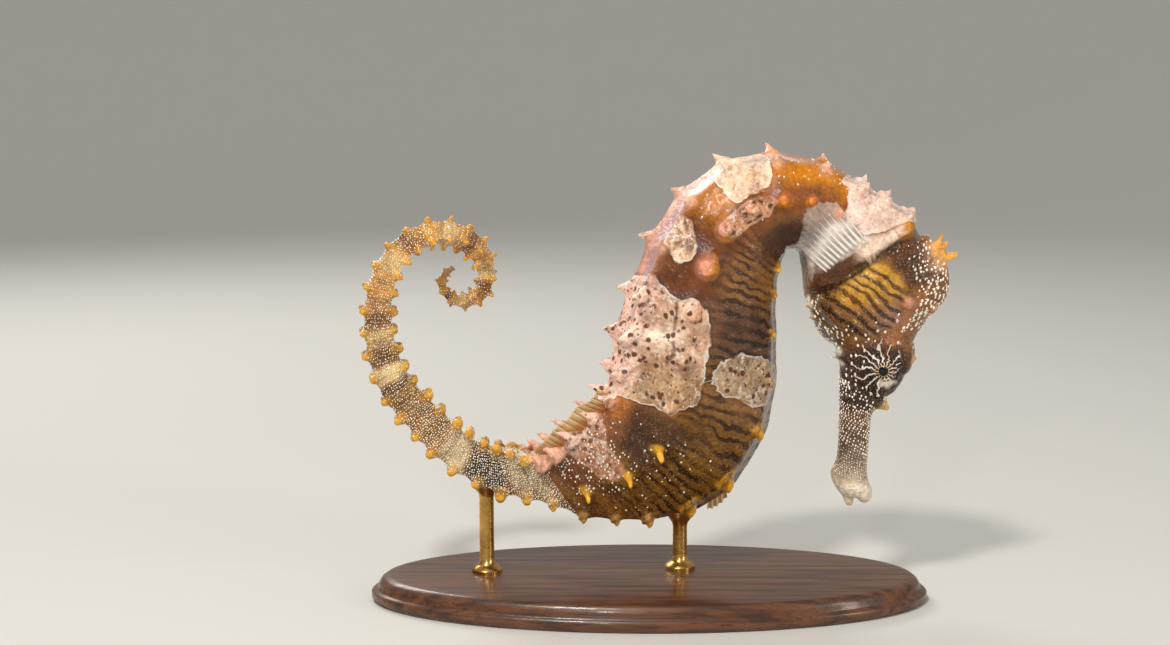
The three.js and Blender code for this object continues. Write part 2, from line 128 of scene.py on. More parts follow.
CAMERA_AIM = Vector((-0.008775, 0, 0.03811))
CAMERA_DISTANCE = 0.26325
CAMERA_ELEVATION = math.radians(7)
camera_data = bpy.data.cameras.new("camera")
camera_data.lens = 60
camera_data.sensor_width = 36
camera_data.clip_start = 0.01
camera = bpy.data.objects.new("camera", camera_data)
bpy.context.scene.collection.objects.link(camera)
view_line = Vector((0, math.cos(CAMERA_ELEVATION), -math.sin(CAMERA_ELEVATION)))
camera.location = CAMERA_AIM - view_line * CAMERA_DISTANCE
camera.rotation_euler = (math.radians(90) - CAMERA_ELEVATION, 0, 0)
bpy.context.scene.camera = camera

# ---------------------------------------------------------------------------------------------------
# Body: bony rings under a thin skin, 11 in the trunk and 36 in the tail, with seven ridges on the
# trunk and four on the tail. It is drawn as sections from the gill crease (ring 0) to the tail's tip,
# in millimetres. Angles are in degrees from the back, and the right side's are positive.
# ---------------------------------------------------------------------------------------------------

MM = 0.001  # a millimetre, in metres
SIDES = (1, -1)  # right, left
# [back x, back z, belly x, belly z, half width, roll of the back towards the right side]
BODY_RINGS = np.array([
    [37.5, 49.6, 20.7, 42.2, 5.7, 13], [35.8, 53.2, 20.1, 47.0, 5.6, 12], [32.4, 55.3, 19.7, 47.8, 5.6, 9],
    [29.2, 57.3, 19.3, 48.0, 5.7, 7], [23.6, 60.3, 18.9, 48.0, 6.0, 6], [16.2, 61.4, 18.5, 47.9, 6.4, 8],
    [9.5, 59.8, 18.2, 47.1, 6.9, 12], [3.8, 55.7, 17.8, 45.1, 7.3, 16], [-0.3, 49.8, 17.6, 41.7, 7.6, 18],
    [-3.4, 43.0, 17.8, 36.5, 7.7, 18], [-5.5, 37.4, 18.0, 29.6, 7.5, 18], [-6.1, 32.8, 16.6, 22.4, 6.9, 17],
    [-6.9, 29.3, 12.2, 15.2, 6.0, 16], [-8.8, 26.8, 6.9, 11.6, 5.1, 15], [-11.3, 23.7, 0.9, 10.2, 4.5, 15],
    [-13.4, 21.6, -4.0, 10.6, 4.1, 14], [-15.1, 20.5, -8.7, 11.2, 3.8, 10], [-17.3, 20.6, -12.8, 12.9, 3.6, 5],
    [-19.0, 21.0, -16.5, 13.7, 3.5, 0], [-20.7, 21.2, -20.1, 14.3, 3.4, -4], [-22.4, 22.0, -23.6, 15.8, 3.3, -6],
    [-24.4, 23.2, -27.0, 17.6, 3.2, -7],
])
TAIL_AXIS = np.array([
    [-25.7, 0, 20.4], [-28.9, 0, 23.3], [-31.9, 0, 26.4], [-34.6, 0, 29.9], [-36.1, 0, 33.7], [-36.7, 0, 37.8],
    [-36.4, 0, 42.2], [-34.8, 0.3, 46.3], [-31.8, 0.9, 49.2], [-28.0, 1.9, 50.1], [-24.5, 3.2, 48.7],
    [-22.4, 4.6, 45.6], [-22.8, 6.0, 42.2], [-25.4, 7.2, 40.2], [-28.0, 8.0, 41.1], [-28.6, 8.4, 43.3],
    [-27.0, 8.6, 44.8],
])
TAIL_RINGS = 26  # the rings on that axis
TAIL_TWIST = 85  # degrees, the back turns this far towards the right side in the curl
TAIL_THICKNESS = np.array([[3.65], [3.3], [2.85], [2.4], [2.0], [1.55], [1.05], [0.5]])
# Corners of a section: [angle, reach as a share of the half depth or width]
TRUNK_CORNERS = np.array(
    [[0, 0.84], [35, 1.0], [57, 0.94], [80, 1.0], [110, 0.92], [141, 0.98], [161, 0.95], [180, 1.0]])
TAIL_CORNERS = np.array(
    [[0, 0.72], [45, 1.0], [67, 0.79], [90, 0.74], [112, 0.79], [135, 1.0], [157, 0.79], [180, 0.72]])
RIDGE_SHIFT = 12  # degrees that the upper and side ridges of the trunk move towards the back


def smooth(x, low, high):
    t = np.clip((x - low) / (high - low), 0, 1)
    return t * t * (3 - 2 * t)


def bump(x, width):
    return np.exp(-(x / width) ** 2)


def unit(v):
    return v / np.maximum(np.linalg.norm(v, axis=-1, keepdims=True), 1e-9)


def spline(rows, u):
    """Rows of numbers at fractional row numbers, by a Catmull-Rom spline."""
    u = np.atleast_1d(np.asarray(u, float))
    i = np.clip(np.floor(u), 0, len(rows) - 2).astype(int)
    t = (u - i)[:, None]
    padded = np.vstack([2 * rows[0] - rows[1], rows, 2 * rows[-1] - rows[-2]])
    a, b, c, d = padded[i], padded[i + 1], padded[i + 2], padded[i + 3]
    return b + 0.5 * t * (c - a + t * (2 * a - 5 * b + 4 * c - d + t * (3 * (b - c) + d - a)))


def turned(v, axis, degrees):
    a = math.radians(degrees)
    return v * math.cos(a) + np.cross(axis, v) * math.sin(a) + axis * np.dot(axis, v) * (1 - math.cos(a))


def section(row, roll, depth=1.0):
    """A section's centre, its half-depth vector to the back and its half-width vector to the right."""
    back_x, back_z, belly_x, belly_z, half_width = row[:5]
    centre = np.array([(back_x + belly_x) / 2, 0, (back_z + belly_z) / 2])
    back = np.array([(back_x - belly_x) / 2, 0, (back_z - belly_z) / 2]) * depth
    forward = np.cross(unit(back), [0, -1, 0])
    width = np.array([0, -half_width, 0])
    return np.concatenate([centre, turned(back, forward, roll), turned(width, forward, roll)])


def tail_line(points, count=4000):
    """Evenly spaced points along the tail's axis, with the direction at each."""
    ends = [2 * points[0] - points[1], *points, 2 * points[-1] - points[-2]]
    drawn = []
    for p0, p1, p2, p3 in zip(ends, ends[1:], ends[2:], ends[3:]):
        d0, d1, d2 = (np.linalg.norm(b - a) ** 0.5 for a, b in ((p0, p1), (p1, p2), (p2, p3)))
        m1 = ((p1 - p0) / d0 - (p2 - p0) / (d0 + d1) + (p2 - p1) / d1) * d1
        m2 = ((p2 - p1) / d1 - (p3 - p1) / (d1 + d2) + (p3 - p2) / d2) * d1
        t = np.linspace(0, 1, 60, endpoint=False)[:, None]
        drawn.append(p1 + m1 * t + (3 * (p2 - p1) - 2 * m1 - m2) * t ** 2 + (2 * (p1 - p2) + m1 + m2) * t ** 3)
    line = np.vstack([*drawn, points[-1:]])
    way = np.concatenate([[0], np.cumsum(np.linalg.norm(np.diff(line, axis=0), axis=1))])
    even = np.linspace(0, way[-1], count)
    line = np.stack([np.interp(even, way, line[:, k]) for k in range(3)], 1)
    return line, unit(np.gradient(line, axis=0))


ring_frames = [section(row, row[5], 1.03 + 0.14 * smooth(ring, 12, 17)) for ring, row in enumerate(BODY_RINGS)]
line, directions = tail_line(TAIL_AXIS)
towards_back = unit(ring_frames[-1][3:6])
tail_way = [2.85 * k - 0.00086 * k ** 3 for k in range(TAIL_RINGS + 1)]  # the rings get closer to the tip
for k in range(1, TAIL_RINGS + 1):
    share = tail_way[k] / tail_way[-1]
    at = min(int(round(share * (len(line) - 1))), len(line) - 1)
    towards_back = unit(towards_back - directions[at] * np.dot(towards_back, directions[at]))
    back = turned(towards_back, directions[at], -TAIL_TWIST * smooth(k, 9, TAIL_RINGS))
    right = -np.cross(directions[at], back)
    thickness = spline(TAIL_THICKNESS, share * (len(TAIL_THICKNESS) - 1))[0, 0]
    ring_frames.append(np.concatenate([line[at], back * thickness, right * thickness]))
ring_frames = np.array(ring_frames)
LAST_RING = len(ring_frames) - 1


def frames_at(frames, u):
    """The centres, back vectors and right vectors of a form's sections at fractional numbers."""
    row = spline(frames, u)
    return row[:, 0:3], row[:, 3:6], row[:, 6:9]


def at_ring(u):
    """One section's centre, back vector and right vector, with the direction to the tail."""
    centre, back, right = (v[0] for v in frames_at(ring_frames, u))
    return centre, back, right, -unit(np.cross(back, right))


def narrow_back(u):
    """Where the two upper ridges run closer together."""
    return smooth(u, 4.5, 6.5) * (1 - smooth(u, 13.5, 16.5))


def full_side(u):
    """Where the side ridges run higher up the flank."""
    return smooth(u, 5, 7) * (1 - smooth(u, 11.2, 13))


def corner_reach(u, angle):
    """How far a section reaches at an angle from the back, as a share of its half depth or width."""
    tail = smooth(u, 12, 17.5)[:, None, None]
    corners = TRUNK_CORNERS * (1 - tail) + TAIL_CORNERS * tail
    corners[:, 1, 0] -= RIDGE_SHIFT * narrow_back(u)
    corners[:, 3, 0] -= RIDGE_SHIFT * full_side(u)
    k = (angle[:, None] >= corners[:, 1:7, 0]).sum(1)
    every = np.arange(len(u))
    (a0, r0), (a1, r1) = corners[every, k].T, corners[every, k + 1].T
    a0, a1, a = np.radians(a0), np.radians(a1), np.radians(angle)
    x0, y0, x1, y1 = r0 * np.cos(a0), r0 * np.sin(a0), r1 * np.cos(a1), r1 * np.sin(a1)
    return (x0 * y1 - y0 * x1) / (np.cos(a) * (y1 - y0) - np.sin(a) * (x1 - x0))


def ridge_angles(u):
    """Where the upper, side and lower ridges run, in degrees from the back."""
    tail = smooth(u, 12, 17.5)
    return (35 + 10 * tail - RIDGE_SHIFT * narrow_back(u), 80 + 10 * tail - RIDGE_SHIFT * full_side(u),
            141 - 6 * tail)


def body_surface(u, angle):
    """Points of the bare body at ring numbers and signed angles, with its ridges and raised rings."""
    size = np.abs(angle)
    near = [np.where(size + s > 180, 360 - size - s, np.abs(size + s)) for s in (-6, -3, 0, 3, 6)]
    rounded = sum(corner_reach(u, np.clip(a, 0, 180)) for a in near) / len(near)
    trunk = 1 - smooth(u, 12.5, 16.5)
    waist = 1 - (0.0175 - 0.011 * trunk * smooth(size, 20, 50)) * (1 - np.cos(2 * np.pi * u))
    keel = trunk * smooth(u, 4.5, 7)
    waist = waist - 0.045 * keel * smooth(size, 125, 155)
    centre, back, right = frames_at(ring_frames, u)
    a = np.radians(angle)
    reach = (rounded * waist)[:, None]
    points = centre + back * reach * np.cos(a)[:, None] + right * reach * np.sin(a)[:, None]
    ring = bump(u - np.round(u), 0.13)
    wide_ring = bump(u - np.round(u), 0.24)
    upper, side, lower = ridge_angles(u)
    neck = smooth(u, 0.8, 2.2)
    height = 0.07 * ring * neck * (1 - 0.7 * smooth(size, 95, 120) * trunk)
    height += neck * (0.16 + 0.30 * ring) * bump(size - upper, 9)
    side_knob = (0.30 + 0.35 * full_side(u)) * wide_ring * bump(size - side, 12)
    height += neck * trunk * (0.14 * bump(size - side, 8) + side_knob)
    height += smooth(u, 3, 6) * (0.10 + 0.30 * ring) * bump(size - lower, 8)
    height += 0.50 * bump(size - 180, 7) * keel
    height += 0.14 * (1 - trunk) * ring
    return points + unit(points - centre) * height[:, None]


def body_spot(u, angle):
    return body_surface(np.array([float(u)]), np.array([float(angle)]))[0]


def grid_faces(count, around):
    """Four-sided faces between the neighbouring loops of a grid."""
    j, i = np.meshgrid(np.arange(count - 1), np.arange(around), indexing="ij")
    n = (i + 1) % around
    corners = (j * around + i, j * around + n, (j + 1) * around + n, (j + 1) * around + i)
    return np.stack(corners, -1).reshape(-1, 4)


shells = []  # closed shells that the skin is drawn over, as (points, faces)


def add_shell(grid):
    """A closed shell through a grid of loops, each end drawn in to a point."""
    count, around = grid.shape[:2]
    points = np.vstack([grid.reshape(-1, 3), grid[0].mean(0), grid[-1].mean(0)])
    i = np.arange(around)
    first = np.stack([np.full(around, count * around), (i + 1) % around, i], -1)
    top = (count - 1) * around
    last = np.stack([np.full(around, count * around + 1), top + i, top + (i + 1) % around], -1)
    shells.append((points, [tuple(f) for f in (*grid_faces(count, around), *first, *last)]))


FORM_START, FORM_STEP = -0.2, 0.05  # where the body's and head's grids start, and their step, in sections


def form_grid(surface, last, columns):
    u, angle = np.meshgrid(np.arange(FORM_START, last + 0.01, FORM_STEP),
                           np.arange(columns) * 360 / columns - 180, indexing="ij")
    return surface(u.ravel(), angle.ravel()).reshape(u.shape + (3,))


body_grid = form_grid(body_surface, LAST_RING, 144)
add_shell(body_grid)

# ---------------------------------------------------------------------------------------------------
# Head: a wedge of bone behind the eyes that narrows to a tube snout with a small mouth at its end.
# The gill covers, the eye turrets with their lids, the brows and the lips are rounded forms set in it.
# ---------------------------------------------------------------------------------------------------

# [top x, top z, throat x, throat z, half width], from the gill crease to the lips
HEAD_SECTIONS = np.array([
    [37.5, 49.6, 20.7, 42.2, 5.7], [39.7, 46.3, 21.2, 40.7, 6.0], [40.1, 43.8, 21.7, 39.1, 6.1],
    [39.6, 41.4, 22.4, 37.6, 5.8], [37.4, 38.9, 23.8, 36.2, 5.1], [35.7, 36.1, 25.1, 34.7, 4.2],
    [34.8, 33.6, 25.7, 32.8, 3.5], [33.8, 30.6, 25.7, 30.6, 3.0], [32.2, 28.2, 25.7, 28.2, 2.6],
    [30.2, 25.6, 25.7, 25.9, 2.2], [29.9, 22.9, 25.7, 23.1, 2.0], [29.7, 19.8, 25.5, 19.8, 2.0],
    [29.7, 17.1, 24.7, 17.4, 2.2], [30.4, 14.9, 25.5, 15.3, 2.1], [30.0, 13.8, 27.0, 13.7, 1.2],
])
HEAD_ROLL = 14
# A place on the head is [section, share to the top, share to the side]
EYE_PLACE, EYE_RADIUS = (6.42, 0.45, 0.84), 1.75
GILL_PLACE = (1.4, -0.17, 0.46)
head_frames = np.array([section(row, HEAD_ROLL) for row in HEAD_SECTIONS])


def head_surface(u, angle):
    a = np.radians(angle)
    centre, top, right = frames_at(head_frames, u)
    narrow = 1 - 0.28 * np.maximum(np.cos(a), 0) * (1 - smooth(u, 6, 9))
    return centre + top * np.cos(a)[:, None] + right * (np.sin(a) * narrow)[:, None]


def head_place(place, side):
    """A point on the head with its directions to the lips, to the top and out to that side."""
    up, out = place[1:]
    centre, top, right = (v[0] for v in frames_at(head_frames, place[0]))
    along = unit(np.cross(top, right))
    return centre + top * up + right * out * side, along, unit(top), unit(right) * side


def add_ball(centre, axes, sizes, around=32, rings=20):
    """An egg shape with its half sizes on three directions."""
    turn = np.linspace(0, math.pi, rings + 1)[1:-1]
    spin = np.arange(around) * 2 * math.pi / around
    x = np.cos(turn)[:, None] * np.ones(around)
    y, z = np.sin(turn)[:, None] * np.cos(spin), np.sin(turn)[:, None] * np.sin(spin)
    grid = centre + sum(k[..., None] * np.asarray(axis) * size for k, axis, size in zip((x, y, z), axes, sizes))
    if np.dot(np.cross(axes[0], axes[1]), axes[2]) < 0:
        grid = grid[:, ::-1]
    add_shell(grid[::-1])


def add_ring(centre, normal, first, radius, thickness, balls=28):
    """A doughnut round a line, as an eyelid is; it is added as short overlapping balls."""
    second = np.cross(normal, first)
    for k in range(balls):
        spin = 2 * math.pi * k / balls
        out = first * math.cos(spin) + second * math.sin(spin)
        add_ball(centre + out * radius, (normal, unit(out), np.cross(normal, unit(out))),
                 (thickness, thickness, thickness * 1.2), 10, 8)


head_grid = form_grid(head_surface, 13.6, 96)
add_shell(head_grid)
CREASE = ((24.6, 44.2), (35.8, 51.5))  # x and z where the gill crease starts at the throat and ends at the nape
crease_point = np.array([CREASE[0][0], 0, CREASE[0][1]])
crease_way = unit(np.array([CREASE[1][1] - CREASE[0][1], 0, CREASE[0][0] - CREASE[1][0]]))
for side in SIDES:
    point, *axes = head_place(GILL_PLACE, side)
    add_ball(point, axes, (5.7, 6.4, 4.3), 48, 32)  # gill cover, its free edge at the crease
    cover, faces = shells[-1]
    behind = np.minimum((cover - crease_point) @ crease_way - 0.35, 0)
    shells[-1] = (cover - behind[:, None] * crease_way, faces)
    eye, along, high, outward = head_place(EYE_PLACE, side)
    add_ball(eye - outward * 1.7, (along, high, outward), (3.2, 2.6, 2.85), 40, 26)  # eye turret
    point, *axes = head_place((6.2, 0.12, 0.45), side)
    add_ball(point, axes, (4.8, 3.9, 2.5), 32, 20)  # the swelling it stands on
    add_ring(eye + outward * 1.2, outward, along, 1.14, 0.24)  # lid
    for place, sizes in (((5.7, 0.84, 0.36), (2.9, 1.35, 1.7)),  # brow
                         ((5.15, 0.4, 0.78), (1.5, 1.2, 1.15)),  # knob behind the eye
                         ((7.9, 0.62, 0.45), (2.0, 1.0, 0.9)),  # ridge from the eye to the nose
                         ((5.2, -0.75, 0.5), (2.4, 1.2, 1.2))):  # corner of the jaw
        point, *axes = head_place(place, side)
        add_ball(point, axes, sizes, 24, 16)
point, *axes = head_place((2.4, -0.72, 0), 1)
add_ball(point, axes, (4.2, 2.5, 3.0), 32, 20)  # throat
centre, along, high, outward = head_place((13.2, 0, 0), 1)
add_ball(centre + high * 1.25 + along * 0.25, (along, high, outward), (1.0, 1.1, 1.4), 24, 16)  # upper lip
tilted = (unit(along + high * 0.3), unit(high - along * 0.3), outward)
add_ball(centre - high * 0.95 + along * 0.45, tilted, (1.6, 0.75, 1.2), 24, 16)  # lower lip
add_ball(centre - high * 0.55 + along * 0.95, tilted, (0.95, 0.42, 0.7), 20, 14)  # its edge
add_ball(centre - high * 1.8 - along * 2.1, (along, high, outward), (1.8, 1.2, 1.7), 20, 14)  # chin

# ---------------------------------------------------------------------------------------------------
# Spines, knobs and crown: outgrowths of the bony rings, blunt cones that lean towards the tail and
# spread into the ridge at their foot. The crown is a short stalk with five points.
# ---------------------------------------------------------------------------------------------------

# Lengths of the upper ridge's spines, by ring
UPPER_SPINES = [0, 0.9, 1.1, 1.1, 1.0, 1.2, 1.3, 1.0, 1.2, 1.2, 1.1, 1.0, 1.0, 1.0, 1.0, 0.9, 0.9, 0.8]
# How a spine narrows, as (share of its length, share of its half width)
THORN = [(0, 1.6), (0.12, 1.15), (0.3, 0.82), (0.52, 0.58), (0.76, 0.38), (0.92, 0.24), (1.0, 0.06)]
PEG = [(0, 1.5), (0.15, 1.1), (0.4, 0.9), (0.7, 0.8), (0.9, 0.66), (1.0, 0.4)]
KNOB = [(0, 1.35), (0.2, 1.18), (0.5, 1.05), (0.78, 0.95), (0.93, 0.75), (1.0, 0.45)]
STALK = [(0, 1.35), (0.45, 1.0), (0.9, 1.05), (1, 0.85)]
# Spines of the head: (kind, place, aim to the lips, top and side, length, half width)
HEAD_SPINES = [
    ("nose", (8.35, 0.92, 0), (0.8, 1, 0), 1.5, 1.25), ("cheek", (5.6, -0.86, 0.4), (0, -1, 0.4), 1.9, 0.6),
    ("cheek", (5.95, -0.8, 0.55), (0.2, -1, 0.8), 1.0, 0.5), ("cheek", (5.2, -0.8, 0.6), (-0.1, -1, 0.9), 0.8, 0.5),
    ("brow", (6.1, 1.0, 0.3), (0.2, 1, 0.1), 1.3, 0.7), ("temple", (3.3, 0.9, 0.36), (0.1, 1, 0.3), 0.7, 0.55),
    ("temple", (2.35, 0.46, 0.86), (0.1, 0.5, 1), 0.4, 0.7), ("throat", (1.2, -0.92, 0.4), (-0.2, -1, 0.4), 1.3, 0.6),
    ("throat", (0.75, -0.9, 0.3), (-0.2, -1, 0.2), 0.9, 0.6), ("throat", (2.1, -0.95, 0.35), (0, -1, 0.3), 0.8, 0.5),
    ("throat", (9.7, -0.95, 0.2), (0, -1, 0.2), 0.5, 0.35),
]
# Knobs along the side ridge: (ring, length, half width)
SIDE_KNOBS = [
    (2, 0.2, 0.5), (3, 0.45, 0.6), (4.1, 0.5, 0.6), (5, 0.55, 0.7), (6.1, 0.4, 0.8), (7, 0.55, 1.0), (8, 0.55, 1.1),
    (9, 0.5, 0.9), (10, 0.45, 0.8), (11.2, 0.6, 0.8), (12.3, 2.3, 0.6), (13.5, 2.0, 0.54), (15.1, 1.9, 0.52),
]
LAST_TRUNK_SPINE = 17  # the ring after which the ridges carry rounded knobs that shrink to the tail's tip
SINK = 0.3  # how deep a spine's foot is set in the body
SPINE_SIDES = 14  # corners of a spine's cross section
spikes = []  # every spine as (kind, foot, direction, length, radius, ring), for the markings


def add_spike(kind, foot, direction, length, radius, ring, profile=THORN, bend=None):
    direction = unit(np.asarray(direction, float))
    side_way = unit(np.cross(direction, [0.31, 0.9, 0.3]))
    other_way = np.cross(direction, side_way)
    spin = np.arange(SPINE_SIDES) * 2 * math.pi / SPINE_SIDES
    circle = np.cos(spin)[:, None] * side_way + np.sin(spin)[:, None] * other_way
    loops = []
    for height, width in [(-0.35 / length, profile[0][1])] + profile:
        middle = foot + direction * height * length
        if bend is not None:
            middle = middle + bend * max(height, 0) ** 2 * length
        loops.append(middle + radius * width * circle)
    add_shell(np.array(loops)[:, ::-1])
    spikes.append((kind, foot, direction + (0 if bend is None else bend * 0.5), length, radius, ring))


for ring in range(1, LAST_RING):
    centre, back, right, tailward = at_ring(ring)
    upper, _, lower = (float(a[0]) for a in ridge_angles(np.array([float(ring)])))
    left_over = 1 - max(ring - LAST_TRUNK_SPINE, 0) / (LAST_RING - LAST_TRUNK_SPINE)  # from 1 down to 0 at the tip
    for side in SIDES:
        for ridge, angle in (("upper", upper), ("lower", lower)):
            foot = body_spot(ring, angle * side)
            outward = unit(foot - centre)
            sunk = foot - outward * SINK
            if ring > LAST_TRUNK_SPINE:
                length = (0.78 * left_over ** 0.8 + 0.25) * (0.9 + 0.2 * math.sin(ring * 2.4))
                radius = (0.52 * left_over + 0.13) * (1 + 0.12 * math.sin(ring * 3.7 + side))
                add_spike(ridge, sunk, outward + tailward * 0.1, length, radius, ring, KNOB)
            elif ridge == "upper" and 12 <= ring <= 16:  # a star of three points on each hip ring
                length, size = UPPER_SPINES[ring], 1.0 + 0.35 * (ring > 13)
                add_spike(ridge, sunk, outward, length + 1.2 * size, 0.7 * size, ring, THORN, tailward * 0.3)
                for sway in (0.9, -0.85):
                    way = unit(outward + sway * unit(np.cross(tailward, outward)) + tailward * 0.35)
                    add_spike(ridge, foot - outward * SINK / 2, way, length + 0.8 * size, 0.5 * size, ring)
            elif ridge == "upper":
                add_spike(ridge, sunk, outward, UPPER_SPINES[ring] + 0.3, 0.72, ring, THORN, tailward * 0.3)
            elif ring > 6:
                broad = float(bump((ring - 12.4) / 1.6, 1))
                add_spike(ridge, sunk, outward, 0.75 + 0.6 * broad, 0.5 + 0.7 * broad, ring, PEG, tailward * 0.5)
for ring, length, radius in SIDE_KNOBS:
    centre, back, right, tailward = at_ring(ring)
    for side in SIDES:
        foot = body_spot(ring, ridge_angles(np.array([float(ring)]))[1][0] * side)
        outward = unit(foot - centre)
        hip = ring > 12
        add_spike("side", foot - outward * SINK, unit(outward - unit(back) * 0.75) if hip else outward, length + 0.3,
                  radius, ring, PEG if hip else KNOB, tailward * (0.25 if hip else 0.3))
SHOULDER_KNOB = 0.72  # the ring of the orange knob where the shoulder meets the nape
for side in SIDES:
    foot = body_spot(SHOULDER_KNOB, 40 * side)
    outward = unit(foot - at_ring(SHOULDER_KNOB)[0])
    add_spike("knob", foot - 0.2 * outward, outward, 0.75, 0.95, SHOULDER_KNOB, KNOB)
for kind, place, aim, length, radius in HEAD_SPINES:
    for side in SIDES if place[2] else (1,):
        point, along, high, outward = head_place(place, side)
        way = along * aim[0] + high * aim[1] + outward * aim[2]
        add_spike(kind, point, way, length + 0.1, radius * 0.8, -place[0])

CROWN_POINTS = 5
CROWN_RING = -0.6  # ahead of the body's first ring
crown_foot, along, high, outward = head_place((0.62, 0.9, 0), 1)
crown_axis = unit(high - along * 0.35)
across = unit(np.cross(crown_axis, along))
crown_rim = crown_foot + crown_axis * 1.6
add_spike("crown_stalk", crown_foot - crown_axis, crown_axis, 2.6, 1.6, CROWN_RING, STALK)
for k in range(CROWN_POINTS):
    around_way = turned(across, crown_axis, 360 / CROWN_POINTS * (k + 0.25))
    direction = turned(crown_axis, unit(np.cross(crown_axis, around_way)), 28)
    add_spike("crown", crown_rim + around_way * 0.9 - crown_axis * 0.7, direction, 2.1 + 0.3 * math.sin(k * 2.2), 0.66,
              CROWN_RING)

# ---------------------------------------------------------------------------------------------------
# Skin: one unbroken skin drawn over the body, head and spines, so that no joint shows. It is a
# voxel shell, smoothed a little, with the gill crease, folds and fine wrinkles pressed into it.
# ---------------------------------------------------------------------------------------------------

SKIN_VOXEL = 0.2
SKIN_TRIANGLES = 188000
HEAD_SIDE, NAPE_SIDE = 17, 19  # x, in millimetres, past which the head and the back of the gill crease lie


def piece_from(name, points, faces):
    mesh = bpy.data.meshes.new(name)
    mesh.from_pydata([tuple(p) for p in points], [], faces)
    mesh.validate()
    made = bpy.data.objects.new(name, mesh)
    bpy.context.scene.collection.objects.link(made)
    deselect_all()
    bpy.context.view_layer.objects.active = made
    made.select_set(True)
    return made


def apply_modifier(piece, kind, **settings):
    modifier = piece.modifiers.new(kind.lower(), kind)
    for name, value in settings.items():
        setattr(modifier, name, value)
    bpy.ops.object.modifier_apply(modifier=modifier.name)


starts = np.cumsum([0] + [len(points) for points, _ in shells])
skin = piece_from(
    "skin", np.vstack([points for points, _ in shells]),
    [tuple(int(v) + int(start) for v in f) for (_, faces), start in zip(shells, starts) for f in faces])
apply_modifier(skin, "REMESH", mode="VOXEL", voxel_size=SKIN_VOXEL, adaptivity=0)
apply_modifier(skin, "SMOOTH", factor=0.5, iterations=3)
skin.data.calc_loop_triangles()
apply_modifier(skin, "DECIMATE", ratio=min(1, SKIN_TRIANGLES / len(skin.data.loop_triangles)))
skin.data.calc_loop_triangles()
bpy.ops.object.shade_smooth()


def on_form(grid, points):
    """The section number and signed angle of the nearest place on a bare form, with the distance to it."""
    count, around = grid.shape[:2]
    quads = grid_faces(count, around)
    flat = grid.reshape(-1, 3)
    tree = BVHTree.FromPolygons([tuple(p) for p in flat], [tuple(int(v) for v in q) for q in quads])
    found = [tree.find_nearest(tuple(p)) for p in points]
    index = np.array([f[2] for f in found])
    spot, distance = np.array([f[0] for f in found]), np.array([f[3] for f in found])
    corner, next_around, next_along = (flat[quads[index, k]] for k in (0, 1, 3))
    shares = [np.clip(((spot - corner) * (b - corner)).sum(1) / np.maximum(((b - corner) ** 2).sum(1), 1e-9), 0, 1)
              for b in (next_along, next_around)]
    u = FORM_START + (index // around + shares[0]) * FORM_STEP
    angle = (index % around + shares[1]) * 360 / around - 180
    return u, angle, distance


def wobble(points, size, seed):
    """A smooth random number from about -1 to 1 at each point, with features of about that size."""
    shift = Vector((seed * 17.3, seed * 5.1, -seed * 9.7))
    return np.array([noise.noise(Vector(p) / size + shift) for p in points])


def between(x, low, high, soft):
    """One between two values and nothing outside them, with soft ends."""
    return smooth(x, low - soft, low + soft) * (1 - smooth(x, high - soft, high + soft))


def vertices_of(piece):
    points = np.empty(len(piece.data.vertices) * 3)
    piece.data.vertices.foreach_get("co", points)
    return points.reshape(-1, 3)


def normals_of(piece):
    normals = np.empty(len(piece.data.vertices) * 3, np.float32)
    piece.data.vertices.foreach_get("normal", normals)
    return normals.reshape(-1, 3).astype(float)


# Where each point of the skin lies on the bare forms
skin_mm = vertices_of(skin)
body_at, body_turn, body_off = on_form(body_grid, skin_mm)
head_at, head_turn, head_off = on_form(head_grid, skin_mm)
crease_depth = (skin_mm - crease_point) @ crease_way  # ahead of the crease is positive
near_head = (head_off < body_off + 0.6 * smooth(crease_depth, -0.5, 0.5)) & (skin_mm[:, 0] > HEAD_SIDE)
on_head = (crease_depth > -0.1) & (skin_mm[:, 0] > HEAD_SIDE) & (near_head | (body_at < 1.8))
head_at = np.where(near_head, head_at, FORM_START - 0.8 * body_at)  # the strip of neck ahead of the crease
signed_turn = np.where(on_head & near_head, head_turn, body_turn)
turn = np.abs(signed_turn)
eye_points = {side: head_place(EYE_PLACE, side) for side in SIDES}
eye_span = np.full(len(skin_mm), 99.0)  # distance from the nearer eye's middle
gill = np.zeros(len(skin_mm))
for side in SIDES:
    eye, along, high, outward = eye_points[side]
    offset = skin_mm - eye
    span = np.hypot(offset @ along, offset @ high)
    eye_span = np.where((offset @ outward > -3.2) & on_head, np.minimum(eye_span, span), eye_span)
    point, along, high, outward = head_place(GILL_PLACE, side)
    offset = skin_mm - point
    reach = np.sqrt((offset @ along / 5.6) ** 2 + (offset @ high / 6.2) ** 2)
    gill = np.maximum(gill, (1 - smooth(reach, 0.86, 1.02)) * on_head * smooth(turn, 56, 70) * (offset @ outward > 0))
at_nape = (np.minimum(head_off, body_off) < 2.5) * (skin_mm[:, 0] > NAPE_SIDE)

